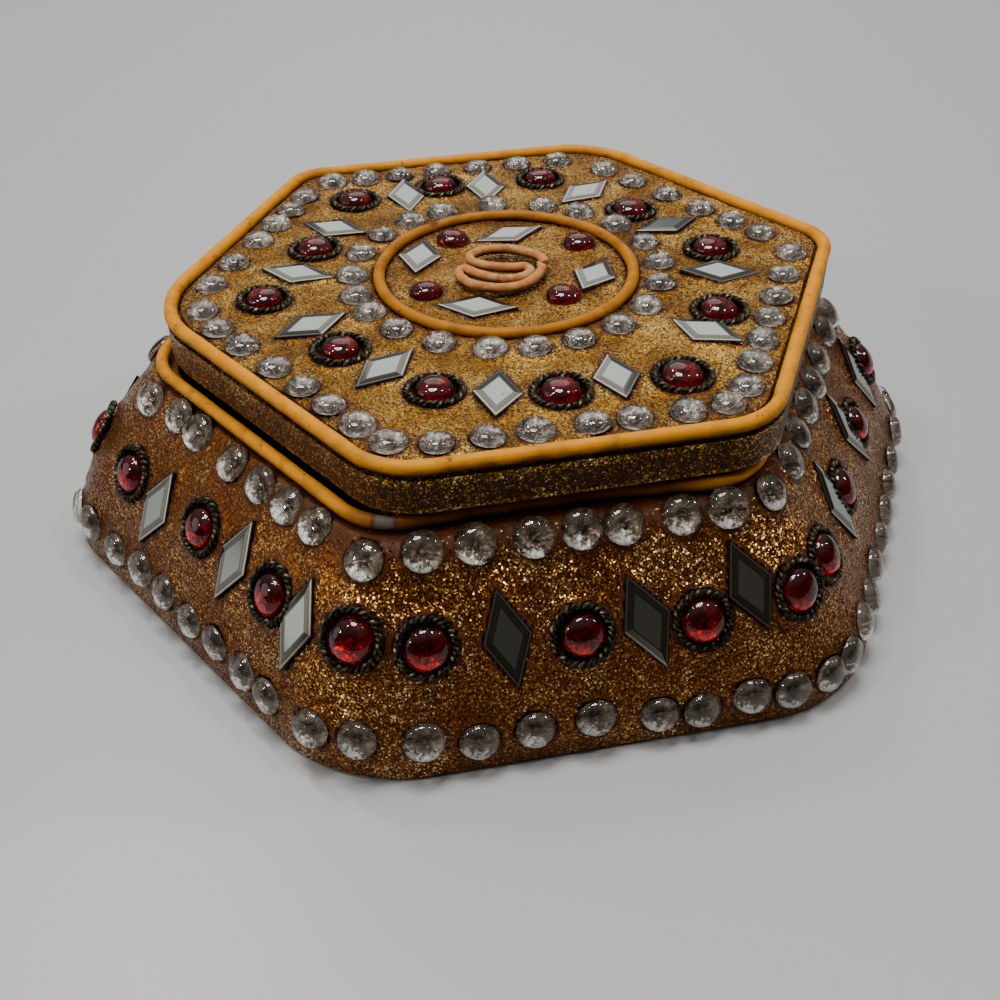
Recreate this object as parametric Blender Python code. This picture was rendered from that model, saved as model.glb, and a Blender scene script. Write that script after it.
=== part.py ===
"""Hexagonal trinket box of coloured lac with a lift-off lid, set with cut glass and mirrors.

Metres, +Z up. The origin is the middle of the underside. The six sides are numbered from the left
front one anticlockwise, seen from above: side 1 faces -Y, and the corners lie at 0, 60, ... degrees.
"""
import math

import bmesh
import bpy
from mathutils import Matrix, Vector

# Body
BASE_ACROSS_FLATS = 0.0900
RIM_ACROSS_FLATS = 0.0708
BASE_CORNER_RADIUS = 0.0160
RIM_CORNER_RADIUS = 0.0090
BODY_HEIGHT = 0.0207
WALL = 0.0030
FLOOR = 0.0025
# The body is handmade: how far each side stands off from a true hexagon at the foot and at the rim, as a
# share of its distance, how fast the skirt steepens towards the foot there, and how round the corner
# after each side is at the foot
BASE_SIDE_ERRORS = (0.0, 0.0, -0.011, -0.009, 0.0, 0.0)
RIM_SIDE_ERRORS = (0.0, 0.0, -0.079, -0.068, -0.017, 0.0)
SKIRT_POWERS = (2.0, 2.0, 1.5, 1.5, 2.0, 2.0)
BASE_CORNER_SHARES = (1.0, 1.0, 1.0, 1.0, 1.0, 0.5)

# Touching pieces keep this gap
GAP = 0.0003

# Cord round the mouth of the body, on its rim
MOUTH_CORD_DIAMETER = 0.00135
MOUTH_CORD_INSET = 0.0012

# Lid
LID_INSET = 0.0006
LID_THICKNESS = 0.0049
LID_PLATE = 0.0025
LID_CORNER_RADIUS = 0.0080
LID_PLAY = 0.0006
FLANGE_DEPTH = 0.0025
FLANGE_WALL = 0.0018
# The lid is handmade too: the same for its sides and corners
LID_SIDE_ERRORS = (-0.006, 0.024, -0.021, -0.015, -0.009, 0.015)
LID_CORNER_SHARES = (1.0, 1.0, 0.75, 1.375, 0.69, 1.625)

# Cord round the top edge of the lid
EDGE_CORD_DIAMETER = 0.0015
EDGE_CORD_PROUD = 0.0002

# Ring of cord on the lid, sunk in a shallow groove
RING_RADIUS = 0.0140
RING_CORD_DIAMETER = 0.0014
RING_SINK = 0.0006
RING_CENTRE = (0.0, 0.0007)

# Twisted rosette of cord in the middle of the ring
COIL_CORD_DIAMETER = 0.00125
COIL_RADIUS = 0.30 * RING_RADIUS
COIL_CENTRE = (-0.043 * RING_RADIUS, -0.014 * RING_RADIUS)
COIL_RISE = 0.0006

# Cut glass: a clear stone is a low cone, a red one a low dome
SKIRT_STONE_DIAMETER = 0.0039
LID_STONE_DIAMETER = 0.0034
CLEAR_STONE_RISE = 0.0012
RED_STONE_DIAMETER = 0.0036
RED_STONE_RISE = 0.0013
WIRE_DIAMETER = 0.0009
# Fused pieces reach this far below the surface that they stand on
SKIRT_SINK = 0.0004
LID_SINK = 0.00015

# Bevelled rhombic mirrors, each pressed into a shallow seat
SKIRT_MIRROR_LENGTH = 0.0098
LID_MIRROR_LENGTH = 0.0086
MIRROR_WIDTH = 0.0048
MIRROR_THICKNESS = 0.0010
MIRROR_BEVEL = 0.0006
MIRROR_SINK = 0.0003

# Stones and mirrors of the skirt. A place along a side is a share of half its length, from its middle,
# and a height is a share of the body's. Two sides at the back repeat the patterns of sides in front.
SIDE_PATTERNS = (0, 1, 2, 0, 1, 3)
UPPER_ROW_HEIGHTS = (0.957, 0.965, 0.935, 0.95)
UPPER_ROWS = (
    (-0.79, -0.53, -0.335, 0.0, 0.235, 0.46, 0.675, 0.99),
    (-0.74, -0.48, -0.19, 0.05, 0.26, 0.56, 0.80),
    (-0.93, -0.64, -0.39, -0.14, 0.10, 0.34, 0.635, 0.84),
    (-0.80, -0.55, -0.30, -0.06, 0.18, 0.43, 0.68),
)
LOWER_ROW_HEIGHTS = (0.21, 0.185, 0.18, 0.19)
LOWER_ROWS = (
    (-1.0, -0.80, -0.55, -0.32, -0.12, 0.09, 0.27, 0.46, 0.62, 0.87),
    (-0.945, -0.69, -0.48, -0.26, -0.02, 0.23, 0.40, 0.605, 0.78, 0.965),
    (-0.90, -0.70, -0.50, -0.31, -0.09, 0.10, 0.29, 0.485, 0.735, 0.95),
    (-0.93, -0.72, -0.50, -0.28, -0.06, 0.16, 0.37, 0.58, 0.78),
)
# Place along the side, and height
RED_ROWS = (
    ((-0.60, 0.64), (0.01, 0.665), (0.55, 0.645), (1.0, 0.66)),
    ((-0.68, 0.63), (-0.02, 0.59), (0.50, 0.575), (0.97, 0.60)),
    ((-0.79, 0.62), (-0.27, 0.60), (0.26, 0.60), (0.80, 0.64)),
    ((-0.74, 0.62), (-0.18, 0.62), (0.38, 0.62), (0.93, 0.64)),
)
# Place along the side, height, and lean of the long axis in degrees
MIRROR_ROWS = (
    ((-0.33, 0.59, 14), (0.28, 0.65, 9), (0.74, 0.62, -3)),
    ((-0.34, 0.62, -6), (0.26, 0.605, -18), (0.75, 0.68, -18)),
    ((-0.42, 0.63, 6), (0.15, 0.645, -3), (0.64, 0.66, 5)),
    ((-0.46, 0.61, 5), (0.10, 0.62, -6), (0.65, 0.61, 4)),
)
ROW_WAVER = 0.0003

# Border stones of the lid: a place is again a share of half the side, and each side's row stands in by its
# own share of the inset
BORDER_CORNER_TIGHTENING = 0.0030
BORDER_INSET = 0.0036
BORDER_INSET_SHARES = (0.94, 1.0, 1.19, 1.39, 1.17, 1.0)
BORDER_ROWS = (
    (-0.94, -0.70, -0.45, -0.14, 0.14, 0.41, 0.69, 0.95),
    (-0.77, -0.48, -0.20, 0.13, 0.38, 0.70, 0.95),
    (-0.83, -0.56, -0.30, -0.03, 0.25, 0.57, 0.91),
    (-0.71, -0.44, -0.14, 0.17, 0.48, 0.75),
    (-0.88, -0.58, -0.29, 0.01, 0.33, 0.62, 0.90),
    (-0.71, -0.43, -0.15, 0.13, 0.45, 0.74),
)
# Ring of clear stones round the cord ring: the gap beyond the cord, and the hand-set angles in degrees
INNER_ROW_GAP = 0.0003
INNER_ROW_ANGLES = (
    10, 29, 47, 63, 84, 105, 120, 136, 153, 171, 187, 201, 217, 235, 253, 268, 284, 301, 318, 336, 353,
)
# Red stones of the lid: angle, and share of the lid's half width
LID_REDS = (
    (1, 0.70), (35, 0.64), (69, 0.76), (98, 0.735), (122, 0.80), (152, 0.68),
    (180, 0.79), (212, 0.69), (242, 0.74), (270, 0.74), (296, 0.82), (326, 0.71),
)
# Mirrors of the lid: angle, share of the half width, and turn of the long axis from the radius
LID_MIRRORS = (
    (138, 0.70, 7), (109, 0.72, -22), (85, 0.69, -4), (54, 0.69, -19), (20, 0.65, -4), (347, 0.69, 0),
    (315, 0.72, -8), (284, 0.72, -17), (256, 0.73, 0), (227, 0.69, -6), (197, 0.69, 8), (167, 0.69, -12),
)
# Inside the ring, as shares of its radius: mirrors with the direction of their long axis, and red stones
CENTRE_MIRRORS = ((148, 0.74, 75), (76, 0.64, 12), (340, 0.70, 57), (238, 0.63, 160))
CENTRE_REDS = ((117, 0.70), (26, 0.75), (303, 0.62), (197, 0.70))

# Fineness of the faceted forms
CORNER_STEPS = 4
SKIRT_BANDS = 6
INSIDE_BANDS = 3
STONE_SIDES = 6
RED_SIDES = 7
CORD_SIDES = 6
RING_STEPS = 24
COIL_STEPS = 40

BASE_APOTHEM = BASE_ACROSS_FLATS / 2
RIM_APOTHEM = RIM_ACROSS_FLATS / 2
BASE_APOTHEMS = [BASE_APOTHEM * (1 + error) for error in BASE_SIDE_ERRORS]
BASE_CORNER_RADII = [BASE_CORNER_RADIUS * share for share in BASE_CORNER_SHARES]
RIM_APOTHEMS = [RIM_APOTHEM * (1 + error) for error in RIM_SIDE_ERRORS]
RIM_CORNER_RADII = [RIM_CORNER_RADIUS] * 6
MOUTH_CORD_HEIGHT = BODY_HEIGHT + GAP + MOUTH_CORD_DIAMETER / 2
LID_APOTHEM = RIM_APOTHEM - MOUTH_CORD_INSET - LID_INSET
LID_APOTHEMS = [LID_APOTHEM * (1 + error) for error in LID_SIDE_ERRORS]
LID_CORNER_RADII = [LID_CORNER_RADIUS * share for share in LID_CORNER_SHARES]
BORDER_INSETS = [BORDER_INSET * share for share in BORDER_INSET_SHARES]
LID_BOTTOM = MOUTH_CORD_HEIGHT + MOUTH_CORD_DIAMETER / 2 + GAP
LID_TOP = LID_BOTTOM + LID_THICKNESS
EDGE_CORD_INSET = EDGE_CORD_DIAMETER / 2 - EDGE_CORD_PROUD
REBATE_INSET = EDGE_CORD_INSET + EDGE_CORD_DIAMETER / 2 + GAP
REBATE_DEPTH = EDGE_CORD_DIAMETER / 2 + GAP
RED_SEAT_RADIUS = RED_STONE_DIAMETER / 2 + GAP


def clear_scene():
    for item in list(bpy.data.objects):
        bpy.data.objects.remove(item, do_unlink=True)


def surface(name, colour, roughness, metallic=0.0):
    """A plain material of the part's colour."""
    made = bpy.data.materials.new(name)
    made.use_nodes = True
    shader = made.node_tree.nodes["Principled BSDF"]
    shader.inputs["Base Color"].default_value = (*colour, 1.0)
    shader.inputs["Roughness"].default_value = roughness
    shader.inputs["Metallic"].default_value = metallic
    return made


def add_object(name, bm, material):
    """Turns a bmesh into an object of the scene, its faces pointing out."""
    bmesh.ops.recalc_face_normals(bm, faces=bm.faces)
    mesh = bpy.data.meshes.new(name)
    bm.to_mesh(mesh)
    bm.free()
    made = bpy.data.objects.new(name, mesh)
    bpy.context.scene.collection.objects.link(made)
    if material:
        mesh.materials.append(material)
    return made


def combine(target, tool, operation):
    """Joins a tool to a piece, or cuts it out, and hides the tool."""
    modifier = target.modifiers.new(tool.name, "BOOLEAN")
    modifier.operation = operation
    modifier.solver = "EXACT"
    modifier.use_self = operation == "UNION"
    modifier.object = tool
    tool.hide_render = True
    tool.display_type = "WIRE"


def skirt_radii(height):
    """Corner radii of the body's outside at a height."""
    return [radius + (RIM_CORNER_RADIUS - radius) * height / BODY_HEIGHT for radius in BASE_CORNER_RADII]


def skirt_apothems(height):
    """Distance of each side from the axis: the skirt falls from the rim and steepens towards the foot."""
    share = height / BODY_HEIGHT
    return [base + (rim - base) * share ** power
            for base, rim, power in zip(BASE_APOTHEMS, RIM_APOTHEMS, SKIRT_POWERS)]


def inset(sizes, distance):
    """Distances of the sides, or radii of the corners, of a hexagon drawn inside another."""
    return [size - distance for size in sizes]


def side_angle(side):
    return math.radians(210 + 60 * side)


def corner_centre(apothems, radii, corner):
    """Centre of the rounded corner between a side and the next, each at its own distance."""
    first, second = side_angle(corner), side_angle(corner + 1)
    near = apothems[corner % 6] - radii[corner % 6]
    far = apothems[(corner + 1) % 6] - radii[corner % 6]
    cross = math.sin(second - first)
    return Vector((
        (near * math.sin(second) - far * math.sin(first)) / cross,
        (far * math.cos(first) - near * math.cos(second)) / cross,
    ))


def hexagon(apothems, radii):
    """Points of a hexagon with rounded corners, each with the direction that it faces."""
    points = []
    for corner in range(6):
        centre = corner_centre(apothems, radii, corner)
        for step in range(CORNER_STEPS + 1):
            angle = side_angle(corner) + math.radians(60) * step / CORNER_STEPS
            facing = Vector((math.cos(angle), math.sin(angle)))
            points.append((centre + radii[corner] * facing, facing))
    return points


def ring_at(apothems, radii, height):
    return [Vector((*point, height)) for point, facing in hexagon(apothems, radii)]


def loft(bm, rings, closed=False):
    """Skins a row of rings of equal length, with a cap at each end or the ends joined."""
    rows = [[bm.verts.new(point) for point in ring] for ring in rings]
    pairs = list(zip(rows, rows[1:]))
    if closed:
        pairs.append((rows[-1], rows[0]))
    else:
        bm.faces.new(rows[0])
        bm.faces.new(rows[-1])
    for low, high in pairs:
        for index in range(len(low)):
            after = (index + 1) % len(low)
            bm.faces.new((low[index], low[after], high[after], high[index]))


def turned(bm, frame, profile, sides):
    """Spins a profile of (radius, height) round a frame's Z axis. A radius of 0 closes an end."""
    rows = []
    for radius, height in profile:
        if radius == 0.0:
            rows.append([bm.verts.new(frame @ Vector((0.0, 0.0, height)))])
            continue
        row = []
        for index in range(sides):
            angle = math.tau * index / sides
            row.append(bm.verts.new(frame @ Vector((
                radius * math.cos(angle), radius * math.sin(angle), height))))
        rows.append(row)
    for low, high in zip(rows, rows[1:]):
        for index in range(sides):
            after = (index + 1) % sides
            corners = [low[index % len(low)], low[after % len(low)],
                       high[after % len(high)], high[index % len(high)]]
            bm.faces.new(dict.fromkeys(corners))
    if len(rows[0]) > 1:
        bm.faces.new(rows[0])
    if len(rows[-1]) > 1:
        bm.faces.new(rows[-1])


def frame_on(point, normal, upward, turn=0.0):
    """Frame at a point: Z along the normal, Y as near the upward direction as it can be, then turned."""
    z_axis = normal.normalized()
    x_axis = upward.cross(z_axis).normalized()
    y_axis = z_axis.cross(x_axis)
    turned_axes = Matrix((x_axis, y_axis, z_axis)).transposed().to_4x4() @ Matrix.Rotation(turn, 4, "Z")
    return Matrix.Translation(point) @ turned_axes


def walk(apothems, radii, side, share):
    """Point and facing on a rounded hexagon, at a share of half the side's length from its middle.

    Half of the corner at each end belongs to the side.
    """
    angle = side_angle(side)
    facing = Vector((math.cos(angle), math.sin(angle)))
    start, end = [corner_centre(apothems, radii, corner) + radii[corner % 6] * facing
                  for corner in (side - 1, side)]
    flat = (end - start).length / 2
    corner = side if share > 0 else side - 1
    radius = radii[corner % 6]
    along = share * (flat + radius * math.radians(30))
    if abs(along) <= flat:
        return (start + end) / 2 + along * (end - start).normalized(), facing
    angle += math.copysign((abs(along) - flat) / radius, along)
    facing = Vector((math.cos(angle), math.sin(angle)))
    return corner_centre(apothems, radii, corner) + radius * facing, facing


def skirt_frame(side, share, height, turn=0.0):
    """Frame on the skirt's skin: a share of half the side's length along it, at a height."""
    place, facing = walk(skirt_apothems(height), skirt_radii(height), side, share)
    step = 0.0001
    lean = (skirt_apothems(height + step)[side] - skirt_apothems(height - step)[side]) / (2 * step)
    normal = Vector((facing.x, facing.y, -lean))
    return frame_on(Vector((*place, height)), normal, Vector((0.0, 0.0, 1.0)), turn)


def lid_frame(place, turn=0.0, height=LID_TOP):
    """Frame on the lid's top, its Y axis turned from +X."""
    return Matrix.Translation((place[0], place[1], height)) @ Matrix.Rotation(turn - math.pi / 2, 4, "Z")


def polar(degrees, radius, centre=(0.0, 0.0)):
    angle = math.radians(degrees)
    return centre[0] + radius * math.cos(angle), centre[1] + radius * math.sin(angle)


def clear_stone(bm, frame, diameter, sink):
    """A low cone of cut glass, the foot of which is sunk in the lac."""
    foot = diameter / 2 * (1 + sink / CLEAR_STONE_RISE)
    turned(bm, frame, [(foot, -sink), (0.0, CLEAR_STONE_RISE)], STONE_SIDES)


def wire_profile(sink):
    """Outer slope and crest of a ring of twisted wire round a red stone."""
    outer = RED_SEAT_RADIUS + WIRE_DIAMETER
    crest = RED_SEAT_RADIUS + WIRE_DIAMETER / 2
    return [(outer + sink / 2, -sink), (crest, WIRE_DIAMETER * 0.8)]


def ringed_red_stone(bm, frame):
    """A red stone and its wire ring in one, as the skirt has them."""
    radius = RED_STONE_DIAMETER / 2
    profile = wire_profile(SKIRT_SINK) + [
        (radius, WIRE_DIAMETER * 0.5), (radius * 0.65, RED_STONE_RISE * 0.85), (0.0, RED_STONE_RISE)]
    turned(bm, frame, profile, RED_SIDES)


def wire_ring(bm, frame):
    """An open ring of wire that a separate red stone sits in."""
    outer, crest = wire_profile(LID_SINK)
    inner_foot = (RED_SEAT_RADIUS - LID_SINK / 2, -LID_SINK)
    rows = []
    for index in range(RED_SIDES):
        spin = frame @ Matrix.Rotation(math.tau * index / RED_SIDES, 4, "Z")
        rows.append([spin @ Vector((radius, 0.0, height)) for radius, height in (outer, crest, inner_foot)])
    loft(bm, rows, closed=True)


def rhombus(length, width, grow, height):
    """Corners of a rhombus, its sides moved out by a distance."""
    factor = 1 + grow / (length * width / (2 * math.hypot(length, width)))
    across, along = width / 2 * factor, length / 2 * factor
    return [Vector((across, 0.0, height)), Vector((0.0, along, height)),
            Vector((-across, 0.0, height)), Vector((0.0, -along, height))]


def mirror_seat(bm, frame, length):
    """Cutter for the shallow seat of a mirror."""
    floor = -MIRROR_SINK - GAP
    top = MIRROR_THICKNESS + CLEAR_STONE_RISE
    rings = [rhombus(length, MIRROR_WIDTH, GAP, height) for height in (floor, top)]
    loft(bm, [[frame @ point for point in ring] for ring in rings])


def mirror(name, frame, length, material):
    """A thin bevelled mirror."""
    top = MIRROR_THICKNESS - MIRROR_SINK
    rings = [
        rhombus(length, MIRROR_WIDTH, 0.0, -MIRROR_SINK),
        rhombus(length, MIRROR_WIDTH, 0.0, top - MIRROR_BEVEL / 2),
        rhombus(length, MIRROR_WIDTH, -MIRROR_BEVEL, top),
    ]
    bm = bmesh.new()
    loft(bm, [[frame @ point for point in ring] for ring in rings])
    return add_object(name, bm, material)


def red_stone(name, frame, material):
    """A separate red stone, just clear of the surface that it stands on."""
    radius = RED_STONE_DIAMETER / 2
    bm = bmesh.new()
    profile = [(radius, GAP), (radius * 0.65, RED_STONE_RISE * 0.85), (0.0, RED_STONE_RISE)]
    turned(bm, frame, profile, RED_SIDES)
    return add_object(name, bm, material)


def cord_rings(path, diameter):
    """Sections of a round cord at points, each with the direction across the cord and the one above it."""
    rings = []
    for point, across, above in path:
        ring = []
        for index in range(CORD_SIDES):
            angle = math.tau * index / CORD_SIDES
            ring.append(point + diameter / 2 * (across * math.cos(angle) + above * math.sin(angle)))
        rings.append(ring)
    return rings


def cord(name, path, diameter, material, closed=True):
    bm = bmesh.new()
    loft(bm, cord_rings(path, diameter), closed)
    return add_object(name, bm, material)


def hexagon_path(apothems, radii, height):
    """Course of a cord that runs round a hexagon."""
    above = Vector((0.0, 0.0, 1.0))
    return [(Vector((*point, height)), Vector((*facing, 0.0)), above)
            for point, facing in hexagon(apothems, radii)]


def waver(index):
    """Small unevenness of a hand-set row."""
    return ROW_WAVER * math.sin(2.4 * index * index + index)


def skirt_places():
    """Frames of everything set in the skirt: clear stones, ringed red stones and mirrors."""
    clears, reds, mirrors = [], [], []
    for side, pattern in enumerate(SIDE_PATTERNS):
        upper = UPPER_ROWS[pattern], UPPER_ROW_HEIGHTS[pattern]
        lower = LOWER_ROWS[pattern], LOWER_ROW_HEIGHTS[pattern]
        for row, level in (upper, lower):
            for index, share in enumerate(row):
                height = level * BODY_HEIGHT + waver(index + side)
                clears.append(skirt_frame(side, share, height))
        for share, level in RED_ROWS[pattern]:
            reds.append(skirt_frame(side, share, level * BODY_HEIGHT))
        for share, level, lean in MIRROR_ROWS[pattern]:
            mirrors.append(skirt_frame(side, share, level * BODY_HEIGHT, math.radians(-lean)))
    return clears, reds, mirrors


def border_places():
    """Places of the stones in the lid's border."""
    places = []
    apothems = [apothem - distance for apothem, distance in zip(LID_APOTHEMS, BORDER_INSETS)]
    radii = inset(LID_CORNER_RADII, BORDER_CORNER_TIGHTENING)
    for side, shares in enumerate(BORDER_ROWS):
        for share in shares:
            place, facing = walk(apothems, radii, side, share)
            places.append(place)
    return places


def build_body(lac, clears, reds, mirrors, mouth_path):
    """Hollow body with the stones fused on. The mirrors' seats and the bed of the mouth cord are cut."""
    rings = []
    for band in range(SKIRT_BANDS + 1):
        height = BODY_HEIGHT * band / SKIRT_BANDS
        rings.append(ring_at(skirt_apothems(height), skirt_radii(height), height))
    for band in reversed(range(INSIDE_BANDS + 1)):
        height = FLOOR + (BODY_HEIGHT - FLOOR) * band / INSIDE_BANDS
        rings.append(ring_at(inset(skirt_apothems(height), WALL), inset(skirt_radii(height), WALL), height))
    bm = bmesh.new()
    loft(bm, rings)
    body = add_object("box_body", bm, lac)

    stones = bmesh.new()
    for frame in clears:
        clear_stone(stones, frame, SKIRT_STONE_DIAMETER, SKIRT_SINK)
    for frame in reds:
        ringed_red_stone(stones, frame)
    combine(body, add_object("skirt_stones", stones, None), "UNION")

    seats = bmesh.new()
    for frame in mirrors:
        mirror_seat(seats, frame, SKIRT_MIRROR_LENGTH)
    loft(seats, cord_rings(mouth_path, MOUTH_CORD_DIAMETER + 2 * GAP), closed=True)
    combine(body, add_object("skirt_seats", seats, None), "DIFFERENCE")
    return body


def build_lid(lac, red_places, mirror_frames):
    """Lid: top plate, rebated edge, hollow underside and the flange that drops into the mouth."""
    rebate = inset(LID_APOTHEMS, REBATE_INSET)
    flange = inset(RIM_APOTHEMS, WALL + LID_PLAY)
    hollow = inset(flange, FLANGE_WALL)
    rebate_radii = inset(LID_CORNER_RADII, REBATE_INSET)
    flange_radii = inset(RIM_CORNER_RADII, WALL + LID_PLAY)
    hollow_radii = inset(flange_radii, FLANGE_WALL)
    band_top = LID_TOP - REBATE_DEPTH
    rings = [
        ring_at(hollow, hollow_radii, LID_TOP - LID_PLATE),
        ring_at(hollow, hollow_radii, LID_BOTTOM - FLANGE_DEPTH),
        ring_at(flange, flange_radii, LID_BOTTOM - FLANGE_DEPTH),
        ring_at(flange, flange_radii, LID_BOTTOM),
        ring_at(LID_APOTHEMS, LID_CORNER_RADII, LID_BOTTOM),
        ring_at(LID_APOTHEMS, LID_CORNER_RADII, band_top),
        ring_at(rebate, rebate_radii, band_top),
        ring_at(rebate, rebate_radii, LID_TOP),
    ]
    bm = bmesh.new()
    loft(bm, rings)
    lid = add_object("lid", bm, lac)

    stones = bmesh.new()
    for place in border_places():
        clear_stone(stones, lid_frame(place), LID_STONE_DIAMETER, LID_SINK)
    row_radius = RING_RADIUS + RING_CORD_DIAMETER / 2 + INNER_ROW_GAP + GAP + LID_STONE_DIAMETER / 2
    for degrees in INNER_ROW_ANGLES:
        clear_stone(stones, lid_frame(polar(degrees, row_radius, RING_CENTRE)), LID_STONE_DIAMETER, LID_SINK)
    for place in red_places:
        wire_ring(stones, lid_frame(place))
    combine(lid, add_object("lid_stones", stones, None), "UNION")

    seats = bmesh.new()
    for frame in mirror_frames:
        mirror_seat(seats, frame, LID_MIRROR_LENGTH)
    combine(lid, add_object("lid_mirror_seats", seats, None), "DIFFERENCE")

    groove = bmesh.new()
    half = RING_CORD_DIAMETER / 2 + GAP
    section = [(RING_RADIUS - half, -RING_SINK), (RING_RADIUS + half, -RING_SINK),
               (RING_RADIUS + half, CLEAR_STONE_RISE + GAP), (RING_RADIUS - half, CLEAR_STONE_RISE + GAP)]
    middle = Matrix.Translation((*RING_CENTRE, LID_TOP))
    rows = []
    for index in range(RING_STEPS):
        spin = middle @ Matrix.Rotation(math.tau * index / RING_STEPS, 4, "Z")
        rows.append([spin @ Vector((radius, 0.0, height)) for radius, height in section])
    loft(groove, rows, closed=True)
    combine(lid, add_object("ring_groove", groove, None), "DIFFERENCE")
    return lid


def build_ring(material):
    """The closed ring of cord round the middle of the lid."""
    height = LID_TOP - RING_SINK + GAP + RING_CORD_DIAMETER / 2
    above = Vector((0.0, 0.0, 1.0))
    path = []
    for index in range(RING_STEPS):
        across = Vector((*polar(360 * index / RING_STEPS, 1.0), 0.0))
        path.append((Vector((*RING_CENTRE, height)) + RING_RADIUS * across, across, above))
    return cord("lid_ring_cord", path, RING_CORD_DIAMETER, material)


def build_coil(material):
    """The rosette: one length of cord, laid to and fro in four folds, the second of them on top."""
    # Shares of the radius across and along, and share of the rise
    route = (
        (1.12, 0.08, 0.1), (0.88, 0.70, 0.1), (0.35, 1.08, 0.1), (-0.35, 1.06, 0.3), (-0.72, 0.74, 0.7),
        (-0.68, 0.30, 0.9), (-0.32, -0.05, 1.0), (0.20, -0.24, 1.0), (0.56, -0.32, 0.8), (0.48, -0.60, 0.5),
        (0.04, -0.70, 0.4), (-0.44, -0.46, 0.4), (-0.84, -0.06, 0.4), (-1.12, 0.02, 0.2), (-1.14, -0.32, 0.0),
        (-0.88, -0.70, 0.0), (-0.36, -1.00, 0.0), (0.24, -1.02, 0.0), (0.70, -0.72, 0.0), (1.00, -0.34, 0.0),
        (1.07, -0.08, 0.1),
    )
    low = LID_TOP + GAP + COIL_CORD_DIAMETER / 2
    points = []
    for across, along, lift in route:
        points.append(Vector((COIL_CENTRE[0] + across * COIL_RADIUS, COIL_CENTRE[1] + along * COIL_RADIUS,
                              low + lift * COIL_RISE)))
    path = []
    above = Vector((0.0, 0.0, 1.0))
    for step in range(COIL_STEPS + 1):
        reach = step / COIL_STEPS * (len(points) - 1)
        index = min(int(reach), len(points) - 2)
        share = reach - index
        before = points[max(index - 1, 0)]
        start, end = points[index], points[index + 1]
        after = points[min(index + 2, len(points) - 1)]
        point = 0.5 * (2 * start + (end - before) * share
                       + (2 * before - 5 * start + 4 * end - after) * share ** 2
                       + (3 * start - 3 * end + after - before) * share ** 3)
        heading = 0.5 * ((end - before) + 2 * (2 * before - 5 * start + 4 * end - after) * share
                         + 3 * (3 * start - 3 * end + after - before) * share ** 2)
        path.append((point, heading.cross(above).normalized(), above))
    return cord("centre_coil", path, COIL_CORD_DIAMETER, material, closed=False)


def main():
    clear_scene()
    lac = surface("glitter_lac", (0.36, 0.20, 0.05), 0.45)
    cord_lac = surface("orange_cord", (0.68, 0.30, 0.05), 0.35)
    coil_lac = surface("copper_cord", (0.55, 0.30, 0.16), 0.35)
    silver = surface("mirror_glass", (0.80, 0.82, 0.84), 0.05, 1.0)
    ruby = surface("red_glass", (0.45, 0.01, 0.04), 0.08)

    clears, reds, skirt_mirrors = skirt_places()
    lid_reds = [polar(degrees, share * LID_APOTHEM) for degrees, share in LID_REDS]
    lid_mirrors = [
        lid_frame(polar(degrees, share * LID_APOTHEM), math.radians(degrees + turn))
        for degrees, share, turn in LID_MIRRORS]
    centre_mirrors = [
        lid_frame(polar(degrees, share * RING_RADIUS, RING_CENTRE), math.radians(direction))
        for degrees, share, direction in CENTRE_MIRRORS]
    centre_reds = [polar(degrees, share * RING_RADIUS, RING_CENTRE) for degrees, share in CENTRE_REDS]

    mouth_path = hexagon_path(
        inset(RIM_APOTHEMS, MOUTH_CORD_INSET), inset(RIM_CORNER_RADII, MOUTH_CORD_INSET), MOUTH_CORD_HEIGHT)
    build_body(lac, clears, reds, skirt_mirrors, mouth_path)
    cord("mouth_cord", mouth_path, MOUTH_CORD_DIAMETER, cord_lac)
    build_lid(lac, lid_reds, lid_mirrors + centre_mirrors)
    edge_path = hexagon_path(
        inset(LID_APOTHEMS, EDGE_CORD_INSET), inset(LID_CORNER_RADII, EDGE_CORD_INSET), LID_TOP)
    cord("lid_edge_cord", edge_path, EDGE_CORD_DIAMETER, cord_lac)
    build_ring(cord_lac)
    build_coil(coil_lac)

    for number, frame in enumerate(skirt_mirrors, 1):
        mirror(f"skirt_mirror_{number}", frame, SKIRT_MIRROR_LENGTH, silver)
    for number, frame in enumerate(lid_mirrors, 1):
        mirror(f"lid_mirror_{number}", frame, LID_MIRROR_LENGTH, silver)
    for number, frame in enumerate(centre_mirrors, 1):
        mirror(f"centre_mirror_{number}", frame, LID_MIRROR_LENGTH, silver)
    for number, place in enumerate(lid_reds, 1):
        red_stone(f"lid_red_stone_{number}", lid_frame(place), ruby)
    for number, place in enumerate(centre_reds, 1):
        red_stone(f"centre_red_stone_{number}", lid_frame(place), ruby)


main()
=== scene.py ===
import math
import random

import bmesh
import bpy
import numpy as np
from mathutils import Matrix, Vector, noise


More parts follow.
